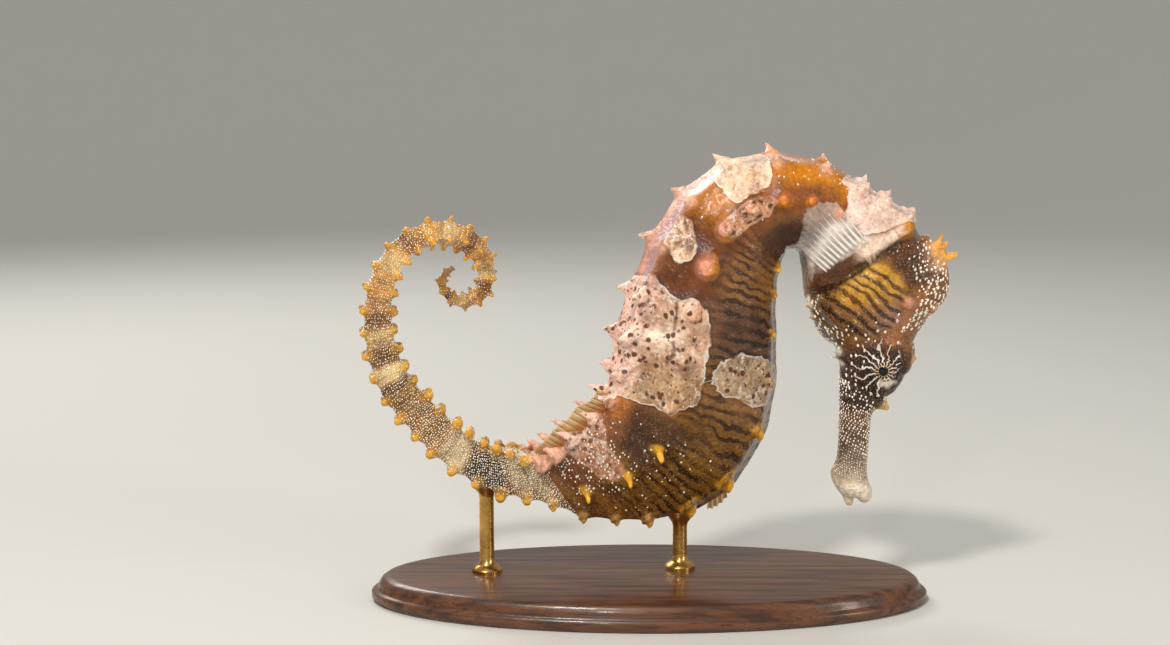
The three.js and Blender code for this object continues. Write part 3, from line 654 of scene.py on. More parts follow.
# Fine relief, pressed into the drawn skin: the crease at the gill opening, the bony girdle behind it,
# folds at the bend of the trunk, grooves between the tail's rings, striae on the gill covers, folds
# round the eyes and soft wrinkles
band_way = np.array([-0.60, 0, -0.80])  # the gill cover's striae run across this
coarse, middle, fine = (wobble(skin_mm, size, seed) for size, seed in ((3.1, 1), (1.3, 2), (0.6, 3)))
striae = np.sin(2 * np.pi * ((skin_mm @ band_way) / 1.35 + 0.55 * coarse + 0.12 * middle))
crease = bump(crease_depth, 0.42) * (turn > 20) * at_nape * smooth(turn, 25, 60) * (1 - smooth(turn, 150, 172))
snout = smooth(head_at, 7.5, 9) * on_head
fold = sum(bump((body_at - at - 0.004 * (turn - 90) + 0.05 * coarse) / 0.05, 1) for at in (6.55, 6.85, 7.15)) \
    * smooth(turn, 70, 90) * (1 - smooth(turn, 140, 160)) * ~on_head
girdle = smooth(-crease_depth, 0.15, 0.7) * (1 - smooth(-crease_depth, 1.5, 2.3)) * (1 - smooth(turn, 84, 104)) \
    * (body_at < 2.6) * (body_off < 2.5) * (skin_mm[:, 0] > NAPE_SIDE) * ~on_head
groove = (1 - smooth(np.abs(body_at % 1 - 0.5), 0.04, 0.24)) * smooth(body_at, 15, 17) * ~on_head
eye_folds = np.sin(2 * np.pi * eye_span / 0.85) * (1 - smooth(eye_span, 1.6, 4.2)) * smooth(eye_span, 1.2, 1.5)
lift = 0.07 * coarse * (1 - snout) + 0.05 * middle * (1 - 0.5 * snout) + 0.035 * fine
lift -= 0.13 * groove * (1 - smooth(body_at, 20, 47) * 0.6)
lift += 0.09 * striae * gill - 0.55 * crease - 0.14 * fold + 0.42 * girdle
lift += 0.05 * eye_folds
skin_mm = skin_mm + normals_of(skin) * lift[:, None]
skin.data.vertices.foreach_set("co", skin_mm.ravel())
skin.data.update()
skin.data.transform(Matrix.Scale(MM, 4))

# ---------------------------------------------------------------------------------------------------
# Markings: washes of colour over the whole skin, pale blotches with a thin bright rim, dark wavy
# bands on the belly and gill covers, and pale lines that run out from the eyes. They are kept on the
# skin as attributes, so the paint follows the rings and both flanks.
# ---------------------------------------------------------------------------------------------------

# Outlines of the pale blotches as (ring, degrees from the back)
BLOTCHES = {
    "shoulder": ((5.25, -40), (5.15, 0), (5.15, 30), (5.2, 46), (5.3, 60), (5.8, 63), (6.35, 58), (6.4, 46),
                 (6.25, 30), (6.1, 0), (6.05, -40)),
    "below_shoulder": ((6.5, 64), (6.0, 66), (5.4, 70), (5.2, 79), (5.7, 89), (6.3, 87), (6.8, 82), (7.1, 74),
                       (7.0, 66), (6.75, 61)),
    "upper_flank": ((7.5, 4), (7.3, 34), (7.5, 44), (7.8, 53), (8.0, 54), (8.2, 44), (8.1, 34), (7.8, 16)),
    "flank": ((8.8, -30), (8.6, 10), (8.55, 26), (8.7, 39), (8.9, 55), (8.75, 66), (8.85, 76), (9.2, 82),
              (9.9, 84), (10.3, 85), (10.9, 83), (11.3, 70), (11.35, 56), (11.6, 31), (11.9, 5), (12.0, -30)),
    "belly": ((10.2, 91), (9.8, 96), (9.55, 114), (9.6, 140), (9.7, 172), (10.1, 176), (10.4, 151), (10.55, 126),
              (10.5, 110), (10.5, 98)),
    "hip": ((12.6, -20), (12.7, 14), (12.9, 39), (13.3, 52), (13.3, 71), (13.5, 80), (13.8, 84), (14.2, 74),
            (14.3, 56), (14.6, 30), (14.8, -20)),
    "nape": ((2.9, 76), (3.3, 50), (3.2, 20), (3.3, -50), (0.7, -50), (0.75, 20), (0.95, 46), (0.95, 64),
             (1.0, 79), (1.4, 86), (2.1, 88)),
}
# Their colour, how thick the brown specks lie on each, how bright its rim is, how much white lace it carries
BLOTCH_LOOKS = {
    "shoulder": ((248, 214, 184), 0.5, 0.9, 0.25), "below_shoulder": ((200, 140, 106), 1.2, 0.3, 0.45),
    "upper_flank": ((228, 186, 148), 0.6, 0.7, 0.75), "flank": ((222, 180, 154), 1.2, 0.85, 0.1),
    "belly": ((168, 144, 114), 1.7, 0.6, 0.2), "hip": ((182, 124, 92), 1.0, 0.0, 0.3),
    "nape": ((246, 214, 202), 0.15, 0.4, 0.1),
}
LEFT_SHIFT = (0.28, 7)  # rings and degrees that the left flank's blotches lie further along and lower
RING_LENGTH, DEGREE_LENGTH = 5.2, 0.15  # millimetres to a ring and to a degree, about
spread = np.stack([wobble(skin_mm, 2.2, 5), wobble(skin_mm, 2.2, 6)], 1)
spread2 = np.stack([wobble(skin_mm, 0.9, 7), wobble(skin_mm, 0.9, 8)], 1)


def depth_in(outline, places):
    """How far inside a closed outline each place lies, in millimetres, less than nothing outside."""
    scale = np.array([RING_LENGTH, DEGREE_LENGTH])
    corners = np.array(outline) * scale
    nearest, inside = np.full(len(places), 1e9), np.zeros(len(places), bool)
    points = places * scale
    for a, b in zip(corners, np.roll(corners, -1, 0)):
        share = np.clip(((points - a) @ (b - a)) / ((b - a) @ (b - a)), 0, 1)
        nearest = np.minimum(nearest, np.linalg.norm(points - a - share[:, None] * (b - a), axis=1))
        crosses = (a[1] > points[:, 1]) != (b[1] > points[:, 1])
        at = a[0] + (points[:, 1] - a[1]) / (b[1] - a[1] + 1e-12) * (b[0] - a[0])
        inside ^= crosses & (points[:, 0] < at)
    return np.where(inside, nearest, -nearest)


blotch = np.full(len(skin_mm), -9.0)
blotch_colour = np.tile(paint(230, 190, 160), (len(skin_mm), 1))
specked, rimmed, laced = np.zeros((3, len(skin_mm)))
for name, side in [(name, side) for name in BLOTCHES for side in SIDES]:
    shift_u, shift_a = (0, 0) if side > 0 else LEFT_SHIFT
    depth = depth_in(BLOTCHES[name], np.stack([
        np.where(on_head, 90, body_at - shift_u + 0.07 * spread[:, 0] + 0.03 * spread2[:, 0]),
        signed_turn * side - shift_a + 2.6 * spread[:, 1] + 1.2 * spread2[:, 1]], 1))
    look = BLOTCH_LOOKS[name]
    blotch_colour[depth > blotch] = paint(*look[0])
    specked[depth > blotch], rimmed[depth > blotch], laced[depth > blotch] = look[1:]
    blotch = np.maximum(blotch, depth)

tint = blotch_colour


def wash(colour, mask):
    """Lay a colour over the tint where the mask lets it through."""
    global tint
    tint = tint + (np.array(paint(*colour)) - tint) * np.clip(mask, 0, 1)[:, None]


trunk_u = np.where(on_head, -9, body_at + 0.12 * spread[:, 0])
tail_u = np.where(on_head, -9, body_at + 0.16 * spread[:, 0] + 0.05 * spread2[:, 0])
warm = turn + 5 * spread[:, 1]  # the angle from the back, made uneven

# the blotches' own shades
wash((186, 152, 116), between(body_at + 0.2 * spread[:, 0], 10.1, 12.1, 0.35) * smooth(turn, 20, 40) * (turn < 88))
pale_bar = body_at + 0.012 * (turn - 40) + 0.15 * spread[:, 0]
wash((250, 232, 214), between(pale_bar, 9.6, 9.95, 0.2) * between(turn, 22, 66, 8) * 0.8)
wash((246, 206, 192), 0.75 * (1 - smooth(turn, 22, 48)) * (specked > 0.95))
blotch_colour = tint * (1 + 0.16 * spread[:, :1] + 0.12 * spread2[:, 1:])
blotch_colour[:, 3] = 1

# trunk: orange shoulders, a pink and lilac back, dark flanks and a brown belly
tint = np.tile(np.array(paint(132, 86, 42)), (len(skin_mm), 1))
for colour, rings, mask in (
        ((190, 116, 8), (2.9, 7.9, 0.4), 1 - smooth(warm, 50, 84)),
        ((130, 70, 22), (2.6, 7.4, 0.5), between(warm, 62, 96, 12)),
        ((70, 40, 20), (0.6, 7.0, 0.6), smooth(warm, 88, 118)),
        ((104, 58, 24), (7.1, 9.2, 0.3), between(warm, 24, 84, 12)),
        ((226, 164, 140), (4.4, 12.0, 0.5), 1 - smooth(turn, 10, 32)),
        ((242, 204, 196), (4.6, 7.6, 0.5), 1 - smooth(turn, 10, 26)),
        # the greyer lilac on the back past ring 7.3 is partly the strip's own colour and partly painted shade
        ((188, 152, 160), (7.3, 9.0, 0.4), (1 - smooth(turn, 6, 18)) * 0.85),
        ((136, 94, 46), (7.2, 13.4, 0.5), smooth(warm, 76, 92)),
        ((88, 58, 36), (8.5, 9.8, 0.3), between(warm, 84, 150, 8)),
        ((114, 76, 20), (11.0, 16.2, 0.4), smooth(warm, 58, 84)),
        ((72, 40, 14), (11.5, 13.1, 0.25), between(warm, 34, 84, 12)),
        ((196, 116, 44), (11.6, 12.5, 0.2), 1 - smooth(warm, 28, 44)),
        ((160, 96, 52), (12.5, 16.4, 0.4), 1 - smooth(warm, 34, 60)),
        ((104, 58, 24), (14.2, 16.2, 0.4), between(warm, 30, 84, 12)),
        ((116, 74, 22), (13.4, 16.4, 0.4), smooth(warm, 84, 110))):
    wash(colour, between(trunk_u, *rings) * mask)

# tail: brown and olive, with pale saddles and darker bands between them
wash((158, 112, 70), smooth(tail_u, 15.9, 16.6))
for colour, rings, mask in (
        ((158, 138, 92), (16.7, 18.4, 0.3), 1 - 0.6 * smooth(warm, 100, 130)),
        ((56, 38, 24), (18.6, 20.55, 0.2), 1),
        ((186, 164, 122), (20.65, 21.9, 0.2), 1 - 0.5 * smooth(warm, 120, 150)),
        ((136, 94, 28), (22.0, 25.4, 0.25), 1), ((92, 60, 22), (24.9, 25.45, 0.15), 1),
        ((204, 176, 120), (25.55, 26.3, 0.15), 1), ((104, 70, 28), (26.45, 27.2, 0.2), 1),
        ((196, 164, 100), (27.35, 28.05, 0.2), 1), ((118, 76, 32), (28.25, 28.9, 0.2), 1)):
    wash(colour, between(tail_u, *rings) * mask)
wash((206, 146, 66), smooth(tail_u, 29.0, 29.9))
wash((84, 56, 26), groove * 0.4)
for saddle in (31.5, 35, 38.5, 42):
    wash((204, 170, 112), bump(tail_u - saddle, 0.55))
    wash((128, 80, 40), bump(tail_u - saddle - 1.3, 0.5))
wash((198, 160, 112), smooth(tail_u, 44, 47))

# head: brown, with yellow gill covers, a dark face and a snout that pales towards the lips
head_u = np.where(on_head, head_at + 0.12 * spread[:, 0], -9)
face = on_head.astype(float)
near_eye = 1 - smooth(eye_span + 0.6 * spread[:, 1], 2.4, 4.4)
for colour, mask in (
        ((128, 82, 42), face),
        ((132, 80, 28), face * (1 - smooth(warm, 50, 74)) * (1 - smooth(head_u, 4.2, 5.2))),
        ((84, 50, 28), face * between(warm, 24, 66, 9) * (1 - smooth(head_u, 1.2, 2.1))),
        ((160, 104, 66), face * between(head_u, 2.2, 5.2, 0.5) * between(warm, 48, 76, 8)),
        ((196, 144, 42), gill),
        ((150, 100, 46), gill * smooth(head_u, 1.0, 2.4)),
        ((118, 84, 52), gill * smooth(head_u, 2.4, 3.6) * 0.8),
        ((110, 74, 36), gill * smooth(warm, 104, 124)),
        ((168, 132, 118), gill * bump(head_u - 3.1, 0.9) * bump((warm - 78) / 14, 1) * 0.7),
        ((112, 78, 40), face * smooth(warm, 122, 140) * between(head_u, 0.8, 4.8, 0.6)),
        ((96, 58, 28), face * smooth(warm, 150, 168) * (1 - smooth(head_u, 0.8, 2.0))),
        ((62, 38, 32), face * between(head_u, 5.0, 8.3, 0.6) * smooth(warm, 60, 84)),
        ((40, 20, 20), face * near_eye),
        ((46, 28, 22), face * between(head_u, 7.2, 9.0, 0.6)),
        ((92, 70, 52), face * smooth(head_u, 8.8, 10.0)),
        ((152, 132, 114), face * smooth(head_u, 10.1, 11.8)),
        ((238, 224, 206), face * smooth(head_u, 11.7, 12.8)),
        ((178, 128, 66), face * between(head_u, 7.6, 8.9, 0.3) * (1 - smooth(warm, 18, 40)))):
    wash(colour, mask)

# the gill crease and what lies behind it, under the breast fins
ahead = skin_mm[:, 0] > NAPE_SIDE
under_fin = (body_at < 3.2) * ~on_head * ahead
crease_shade = bump(crease_depth - 0.15, 0.5) * smooth(turn, 36, 60) * (1 - smooth(turn, 150, 170)) \
    * (np.minimum(head_off, body_off) < 2.5) * ahead
silver = between(-crease_depth, 1.9, 5.4, 0.5) * between(warm, 76, 150, 10) * under_fin
wash((238, 224, 214), silver * (0.45 + 0.55 * smooth(spread2[:, 0], -0.4, 0.5)))
wash((92, 56, 30), between(-crease_depth, 0.3, 2.0, 0.3) * between(warm, 92, 150, 8) * under_fin)
wash((250, 220, 202), girdle * (1 - smooth(turn, 84, 100)))
wash((40, 20, 12), crease_shade * 0.95)
# painted shade: the folds at the bend of the trunk are darkened
wash((56, 30, 18), np.clip(fold, 0, 1) * 0.7)

SPIKE_COLOURS = {
    "crown": (232, 160, 50), "crown_stalk": (222, 168, 120), "nose": (222, 186, 104), "cheek": (244, 238, 222),
    "brow": (216, 160, 120), "temple": (220, 150, 124), "throat": (238, 222, 196), "knob": (212, 140, 20),
}
spike_mask = np.zeros(len(skin_mm))
for kind, foot, direction, length, radius, ring in spikes:
    way = unit(direction)
    offset = skin_mm - foot
    height = offset @ way
    off_axis = np.linalg.norm(offset - height[:, None] * way, axis=1)
    near = (1 - smooth(off_axis, radius * 0.9, radius * 2.0)) * (height > -0.8) * (height < length + 1.2)
    tip = smooth(height / length, 0.05, 0.75)
    if kind in SPIKE_COLOURS:
        colour = SPIKE_COLOURS[kind]
    elif ring > 16:
        colour = (214, 156, 42)
    elif kind == "lower":
        colour = (222, 158, 36) if ring < 14 else (196, 150, 70)
    elif kind == "side":
        colour = (214, 126, 62) if ring < 6 else (226, 154, 124) if ring < 11.5 else (234, 174, 40)
    else:
        colour = (238, 190, 164) if ring < 11 else (240, 184, 160)
    pale = kind in ("upper", "side") and ring <= 16
    wash((236, 186, 158) if pale and kind == "upper" else colour, near * 0.35 * (1 - tip))
    wash(colour, near * (0.35 + 0.65 * tip))
    if kind == "side" and ring < 12:  # orange on the side towards the belly
        wash((206, 134, 30), near * smooth(-(offset @ unit(at_ring(ring)[1])), -0.2, 0.5))
    spike_mask = np.maximum(spike_mask, near * (0.3 + 0.7 * tip))

band_at = np.where(on_head, (skin_mm @ band_way) / 1.3, body_at * 4.0)
bands = between(trunk_u, 6.9, 14.2, 0.5) * smooth(warm, 66, 98)
bands = np.maximum(bands * (1 - 0.5 * smooth(blotch, 0, 0.4)), np.maximum(
    gill, face * smooth(warm, 118, 134) * between(head_u, 0.9, 4.9, 0.5)))
bands = bands * (1 - spike_mask) * (1 - bump(crease_depth, 0.6) * ahead)
keel = ~on_head * smooth(turn, 168, 175) * between(trunk_u, 7.0, 12.5, 0.6)
wash((128, 122, 112), keel * 0.8)

# a fine dark crack down the flank blotch
crack_line = np.array([(8.6, 49), (8.95, 54), (9.25, 56), (9.6, 59), (9.75, 60), (9.95, 63), (10.2, 58), (10.4, 52)])
crack_line = crack_line * [RING_LENGTH, DEGREE_LENGTH]
here = np.stack([body_at * RING_LENGTH, turn * DEGREE_LENGTH], 1) + 0.05 * spread2
crack = np.full(len(skin_mm), 9.0)
for a, b in zip(crack_line[:-1], crack_line[1:]):
    share = np.clip(((here - a) @ (b - a)) / ((b - a) @ (b - a)), 0, 1)
    crack = np.minimum(crack, np.linalg.norm(here - a - share[:, None] * (b - a), axis=1))
in_crack = 1 - smooth(crack, 0.10, 0.32)
wash((64, 36, 22), in_crack * 0.95 * ~on_head)

# places round each eye, for the pale lines, with a pale patch below it and a brown one above
eye_along, eye_high = np.full((2, len(skin_mm)), 9.0)
for side in SIDES:
    eye, along, high, outward = eye_points[side]
    offset = skin_mm - eye
    here = on_head & (offset @ outward > -3.6) & ((skin_mm[:, 1] < 0) == (side > 0))
    eye_along = np.where(here, offset @ along, eye_along)
    eye_high = np.where(here, offset @ high, eye_high)
patch = np.hypot((eye_along - 1.75 - 0.3 * spread2[:, 0]) / 0.62, (eye_high - 0.35) / 1.25)
wash((236, 224, 208), (1 - smooth(patch, 0.7, 1.15)) * smooth(spread2[:, 1], -0.5, 0.1))
brown_patch = np.hypot((eye_along + 2.1) / 0.9, (eye_high - 0.5) / 0.8)
wash((96, 46, 24), (1 - smooth(brown_patch, 0.7, 1.2)) * 0.9)


def keep_on(piece, name, values):
    """Keep a number or a colour at each point of a piece, for its paint to read."""
    kind, field = ("FLOAT_COLOR", "color") if values.ndim == 2 else ("FLOAT", "value")
    piece.data.attributes.new(name, kind, "POINT").data.foreach_set(field, values.astype(np.float32).ravel())


beaded = np.maximum(np.maximum(smooth(tail_u, 15.6, 17), between(trunk_u, 11.6, 16, 0.4) * 0.5), face * 0.6)
for name, values in (
        ("tint", tint), ("blotch_tint", blotch_colour), ("blotch", blotch), ("band_at", band_at), ("bands", bands),
        ("eye_along", eye_along), ("eye_high", eye_high), ("beaded", beaded), ("gill", gill), ("silver", silver),
        ("specked", specked), ("rimmed", rimmed), ("laced", laced), ("crack", in_crack)):
    keep_on(skin, name, values)

# ---------------------------------------------------------------------------------------------------
# Skin paint: wet and glossy, a little light passing under it. The washes are mottled, and the bands,
# the blotches with their brown specks and bright rims, and the eye lines are laid over them.
# ---------------------------------------------------------------------------------------------------


def join(node, values):
    """Set a node's inputs, by name or number, or join them to other nodes."""
    for name, value in dict(values).items():
        if isinstance(value, bpy.types.NodeSocket):
            tree.links.new(value, node.inputs[name])
        else:
            node.inputs[name].default_value = value


def add_node(kind, values=(), **settings):
    made = tree.nodes.new("ShaderNode" + kind)
    for name, value in settings.items():
        setattr(made, name, value)
    join(made, values)
    return made


def start_finish(name):
    """A new finish: the lines that follow add to its nodes."""
    global tree, shader, where
    made = bpy.data.materials.new(name)
    made.use_nodes = True
    tree = made.node_tree
    shader = tree.nodes["Principled BSDF"]
    where = add_node("TexCoord").outputs["Object"]
    return made


def attribute(name, kind="Fac"):
    return add_node("Attribute", attribute_name=name, attribute_type="GEOMETRY").outputs[kind]


def math_node(operation, *values):
    return add_node("Math", dict(enumerate(values)), operation=operation).outputs[0]


def vector_node(operation, values):
    return add_node("VectorMath", values, operation=operation).outputs[0]


def times(a, b):
    return math_node("MULTIPLY", a, b)


def plus(a, b):
    return math_node("ADD", a, b)


def minus(a, b):
    return math_node("SUBTRACT", a, b)


def larger(a, b):
    return math_node("MAXIMUM", a, b)


def swing(clouded, amount):
    """A cloud pattern's swing to either side of nothing."""
    return times(minus(clouded, 0.5), amount)


def distance(a, b):
    return math_node("SQRT", plus(times(a, a), times(b, b)))


def ramp(value, low, high, to_low=0.0, to_high=1.0):
    """A smooth step of a value."""
    values = {"Value": value, "From Min": low, "From Max": high, "To Min": to_low, "To Max": to_high}
    return add_node("MapRange", values, interpolation_type="SMOOTHSTEP").outputs["Result"]


def clouds(place, scale, detail, **values):
    return add_node("TexNoise", {"Vector": place, "Scale": scale, "Detail": detail, **values}).outputs[0]


def cells(place, scale, randomness=1.0, **settings):
    values = {"Vector": place, "Scale": scale, "Randomness": randomness}
    return add_node("TexVoronoi", values, **settings).outputs["Distance"]


def stretched(place, *scale):
    return add_node("Mapping", {"Vector": place, "Scale": scale}).outputs[0]


def blend_colour(share, under, over, kind="MIX"):
    return add_node("Mix", {0: share, 6: under, 7: over}, data_type="RGBA", blend_type=kind).outputs[2]


def pressed_in(height, strength, depth):
    return add_node("Bump", {"Height": height, "Strength": strength, "Distance": depth}).outputs[0]


# the mottle, which the skin, beads and fins share: a slow and a quick change of depth in the colour
mottle = bpy.data.node_groups.new("mottle", "ShaderNodeTree")
for name, way, kind in (("Vector", "INPUT", "Vector"), ("Colour", "INPUT", "Color"), ("Amount", "INPUT", "Float"),
                        ("Colour", "OUTPUT", "Color"), ("Height", "OUTPUT", "Float")):
    mottle.interface.new_socket(name, in_out=way, socket_type="NodeSocket" + kind)
inside, outside = mottle.nodes.new("NodeGroupInput"), mottle.nodes.new("NodeGroupOutput")
tree = mottle
slow = clouds(inside.outputs["Vector"], 420, 4, Roughness=0.6)
quick = clouds(inside.outputs["Vector"], 2300, 3, Roughness=0.6)
both = plus(times(slow, 0.6), times(quick, 0.4))
dark, light = (blend_colour(inside.outputs["Amount"], inside.outputs["Colour"], shade, "MULTIPLY")
               for shade in ((0.40, 0.33, 0.28, 1), (1.75, 1.7, 1.6, 1)))
join(outside, {"Colour": blend_colour(ramp(both, 0.34, 0.66), dark, light), "Height": both})


def mottled(colour, amount):
    """The colour with the mottle laid in it, and the mottle's height."""
    made = add_node("Group", {"Vector": where, "Colour": colour, "Amount": amount}, node_tree=mottle)
    return made.outputs["Colour"], made.outputs["Height"]


skin_finish = start_finish("skin_wet")
colour, height = mottled(attribute("tint", "Color"), 0.55)

# bands: dark wavy lines, each with a thin lighter line beside it, a painted highlight, that is strongest on the gill
# covers
sway = clouds(where, 260, 3, Roughness=0.55)
break_up, patchy = clouds(where, 900, 2), clouds(where, 190, 2)
on_gill = attribute("gill")
cycle = plus(attribute("band_at"), swing(sway, 2.3))
wave = plus(math_node("SINE", times(cycle, 2 * math.pi)), swing(break_up, 1.7))
band = times(attribute("bands"), larger(on_gill, ramp(patchy, 0.36, 0.54, 0.35, 1.0)))
dark_band = times(ramp(wave, -0.1, 0.7), band)
painted_highlight_band = times(ramp(wave, -1.0, -1.4), times(band, plus(0.25, times(on_gill, 0.5))))
colour = blend_colour(times(dark_band, 0.95), colour, (0.2, 0.13, 0.09, 1), "MULTIPLY")
colour = blend_colour(painted_highlight_band, colour, paint(240, 212, 158))

# blotches: their own pale colour, marbled
inset = plus(attribute("blotch"), swing(break_up, 0.6))
cover = ramp(inset, -0.04, 0.14)
specked_here = attribute("specked")
marble = clouds(where, 480, 4, Roughness=0.6, Distortion=1.5)
blotch_paint = mottled(attribute("blotch_tint", "Color"), 0.6)[0]
colour = blend_colour(times(cover, ramp(sway, 0.32, 0.6, 0.5, 0.95)), colour, blotch_paint)
pale_share = times(ramp(marble, 0.54, 0.66), times(cover, 0.55))
brown_share = times(ramp(marble, 0.44, 0.34), times(cover, times(specked_here, 0.4)))
colour = blend_colour(pale_share, colour, paint(250, 234, 218))
colour = blend_colour(brown_share, colour, paint(150, 98, 62))

# a white lace with brown meshes, drawn on a place that drifts so that the meshes are uneven
drift = add_node("TexNoise", {"Vector": where, "Scale": 1100, "Detail": 2}).outputs["Color"]
drift = vector_node("SCALE", {0: vector_node("SUBTRACT", {0: drift, 1: (0.5, 0.5, 0.5)}), "Scale": 0.0006})
bent = vector_node("ADD", {0: where, 1: drift})
wandering = vector_node("ADD", {0: stretched(where, 1.0, 1.0, 0.6), 1: vector_node("SCALE", {0: drift, "Scale": 3.0})})
mesh_edge = cells(wandering, 760, feature="DISTANCE_TO_EDGE")
laced_here = times(attribute("laced"), ramp(inset, 0.0, 0.3))
lace = times(ramp(mesh_edge, 0.10, 0.03), times(laced_here, ramp(marble, 0.40, 0.52)))
colour = blend_colour(times(ramp(mesh_edge, 0.15, 0.32), times(laced_here, 0.8)), colour, paint(112, 62, 32))
colour = blend_colour(lace, colour, paint(252, 236, 220))

# brown specks of two sizes, with the crack, and a thin bright rim with a shadow outside it
some = clouds(where, 330, 1)
speck = larger(times(ramp(cells(bent, 820, 0.9), 0.38, 0.22), ramp(some, 0.36, 0.46)),
               times(ramp(cells(bent, 1500), 0.30, 0.16), ramp(some, 0.56, 0.46)))
speck = larger(times(speck, times(specked_here, ramp(inset, 0.2, 0.55))), attribute("crack"))
colour = blend_colour(times(speck, 0.8), colour, paint(92, 48, 24))
rimmed_here = attribute("rimmed")
rim = times(ramp(math_node("ABSOLUTE", inset), 0.13, 0.04), times(ramp(sway, 0.38, 0.56, 0.1, 0.95), rimmed_here))
shade = ramp(math_node("ABSOLUTE", plus(inset, 0.22)), 0.16, 0.04)
colour = blend_colour(times(shade, times(rimmed_here, 0.6)), colour, (0.4, 0.3, 0.25, 1), "MULTIPLY")
colour = blend_colour(rim, colour, paint(255, 240, 226))

# painted highlights: raised, nearly white dashes painted as wet glints on the blotches, under the breast fins and on
# the hip
painted_glint_area = larger(larger(times(cover, 0.8), attribute("silver")), times(attribute("beaded"), 0.35))
painted_glint = times(times(ramp(cells(stretched(bent, 1.0, 1.0, 0.45), 1500), 0.26, 0.12), ramp(patchy, 0.42, 0.54)), painted_glint_area)
colour = blend_colour(times(painted_glint, 0.85), colour, paint(255, 240, 224))

# pale grains that catch the light on the tail, face and hip
grain = times(ramp(cells(where, 2700, 0.7), 0.36, 0.16), attribute("beaded"))
colour = blend_colour(times(grain, 0.4), colour, paint(226, 200, 152))

# lines that run out from the eye, longest towards the gill cover
EYE_LINES = 14
along_eye, high_eye = attribute("eye_along"), attribute("eye_high")
eye_distance = distance(along_eye, high_eye)
eye_turn = math_node("ARCTAN2", high_eye, along_eye)
spokes = math_node("SINE", times(plus(eye_turn, swing(clouds(where, 650, 2), 0.8)), EYE_LINES))
least = larger(0.2, minus(1.0, math_node("DIVIDE", 1.25, times(eye_distance, eye_distance))))
spoke = ramp(math_node("DIVIDE", minus(spokes, least), minus(1.0, least)), 0.0, 0.45)
spoke_end = plus(3.3, times(math_node("COSINE", plus(eye_turn, -0.85)), -1.5))
spoke_end = plus(spoke_end, swing(patchy, 2.5))
spoke = times(times(spoke, ramp(minus(eye_distance, spoke_end), 0.2, -0.3)), ramp(eye_distance, 0.9, 1.2))
colour = blend_colour(times(spoke, 0.92), colour, paint(248, 236, 218))

# fine wrinkles and pebbles, with the markings slightly raised or sunk
wrinkles, pebbles = clouds(where, 1500, 4, Roughness=0.65), ramp(cells(bent, 1900), 0.6, 0.1)
relief = plus(times(wrinkles, 0.6), times(grain, 0.6))
for part, share in ((pebbles, 0.3), (spoke, 0.5), (rim, 0.3), (painted_glint, 0.7), (lace, 0.5), (dark_band, -0.25),
                    (speck, -0.15)):
    relief = plus(relief, times(part, share))
pressed = pressed_in(relief, 0.8, 0.0002)
join(shader, {
    "Base Color": colour, "Roughness": ramp(height, 0.3, 0.7, 0.46, 0.28), "Specular IOR Level": 0.12,
    "Coat Weight": 0.9, "Coat Roughness": 0.06, "Coat IOR": 1.36, "Subsurface Weight": 0.12,
    "Subsurface Radius": (0.8, 0.35, 0.18), "Subsurface Scale": 0.0012, "Normal": pressed, "Coat Normal": pressed})
skin.data.materials.append(skin_finish)
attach(skin, "root")
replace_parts(skin, "neck", "trunk_upper", "trunk_lower", "tail_1", "tail_2", "tail_3", "tail_4", "tail_5", "tail_6",
            "head", "snout", "coronet")

# ---------------------------------------------------------------------------------------------------
# Beads: hundreds of tiny raised grains in the skin, thick on the snout and tail, scattered on the
# face and hip. One small dome is copied over the skin, each copy turned to stand on it.
# ---------------------------------------------------------------------------------------------------

BEAD_SIZE = 0.13  # half width, millimetres
BEAD_REACH = 0.6  # how far from the bare form the skin may lie and still be given a bead
EYE_CLEAR = 2.3  # no bead stands nearer to an eye's middle
LOOP_STEPS = 73  # places on a loop that a row of beads is measured along
random = np.random.default_rng(4)
skin_tree = BVHTree.FromPolygons([tuple(p) for p in skin_mm], [tuple(p.vertices) for p in skin.data.polygons])


def bead_places(u_first, u_last, step, pitch, surface, angles=(-180, 180), keep=1.0, slant=0.5, stray=0.2, lean=0.0):
    """Rows of places on a form: step between rows in ring numbers, pitch along a row in millimetres."""
    found, full_turn = [], np.linspace(-180, 180, LOOP_STEPS)
    for row, u in enumerate(np.arange(u_first, u_last, step)):
        loop = surface(np.full(LOOP_STEPS, u), full_turn)
        way = np.concatenate([[0], np.cumsum(np.linalg.norm(np.diff(loop, axis=0), axis=1))])
        spots = np.arange((row * slant % 1) * pitch, way[-1], pitch)
        spots = spots + random.uniform(-stray, stray, len(spots)) * pitch
        angle = np.interp(spots, way, full_turn)
        kept = (np.abs(angle) >= angles[0]) & (np.abs(angle) <= angles[1]) & (random.random(len(spots)) < keep)
        jitter = random.uniform(-stray, stray, len(spots)) * step
        if kept.any():
            found.append(surface(u + (jitter + lean * (90 - np.abs(angle)) / 90)[kept], angle[kept]))
    return np.vstack(found)


DOME_SIDES = 6
spin = np.arange(DOME_SIDES) * 2 * math.pi / DOME_SIDES
foot_edges = [(k, (k + 1) % DOME_SIDES) for k in range(DOME_SIDES)]
dome = np.array([(r * math.cos(a), r * math.sin(a), z) for r, z in ((1, -0.25), (0.8, 0.42)) for a in spin]
                + [(0, 0, 0.78)])
dome_faces = [(a, b, DOME_SIDES + b, DOME_SIDES + a) for a, b in foot_edges]
dome_faces += [(DOME_SIDES + a, DOME_SIDES + b, 2 * DOME_SIDES) for a, b in foot_edges]
dome_faces.append(tuple(range(DOME_SIDES))[::-1])


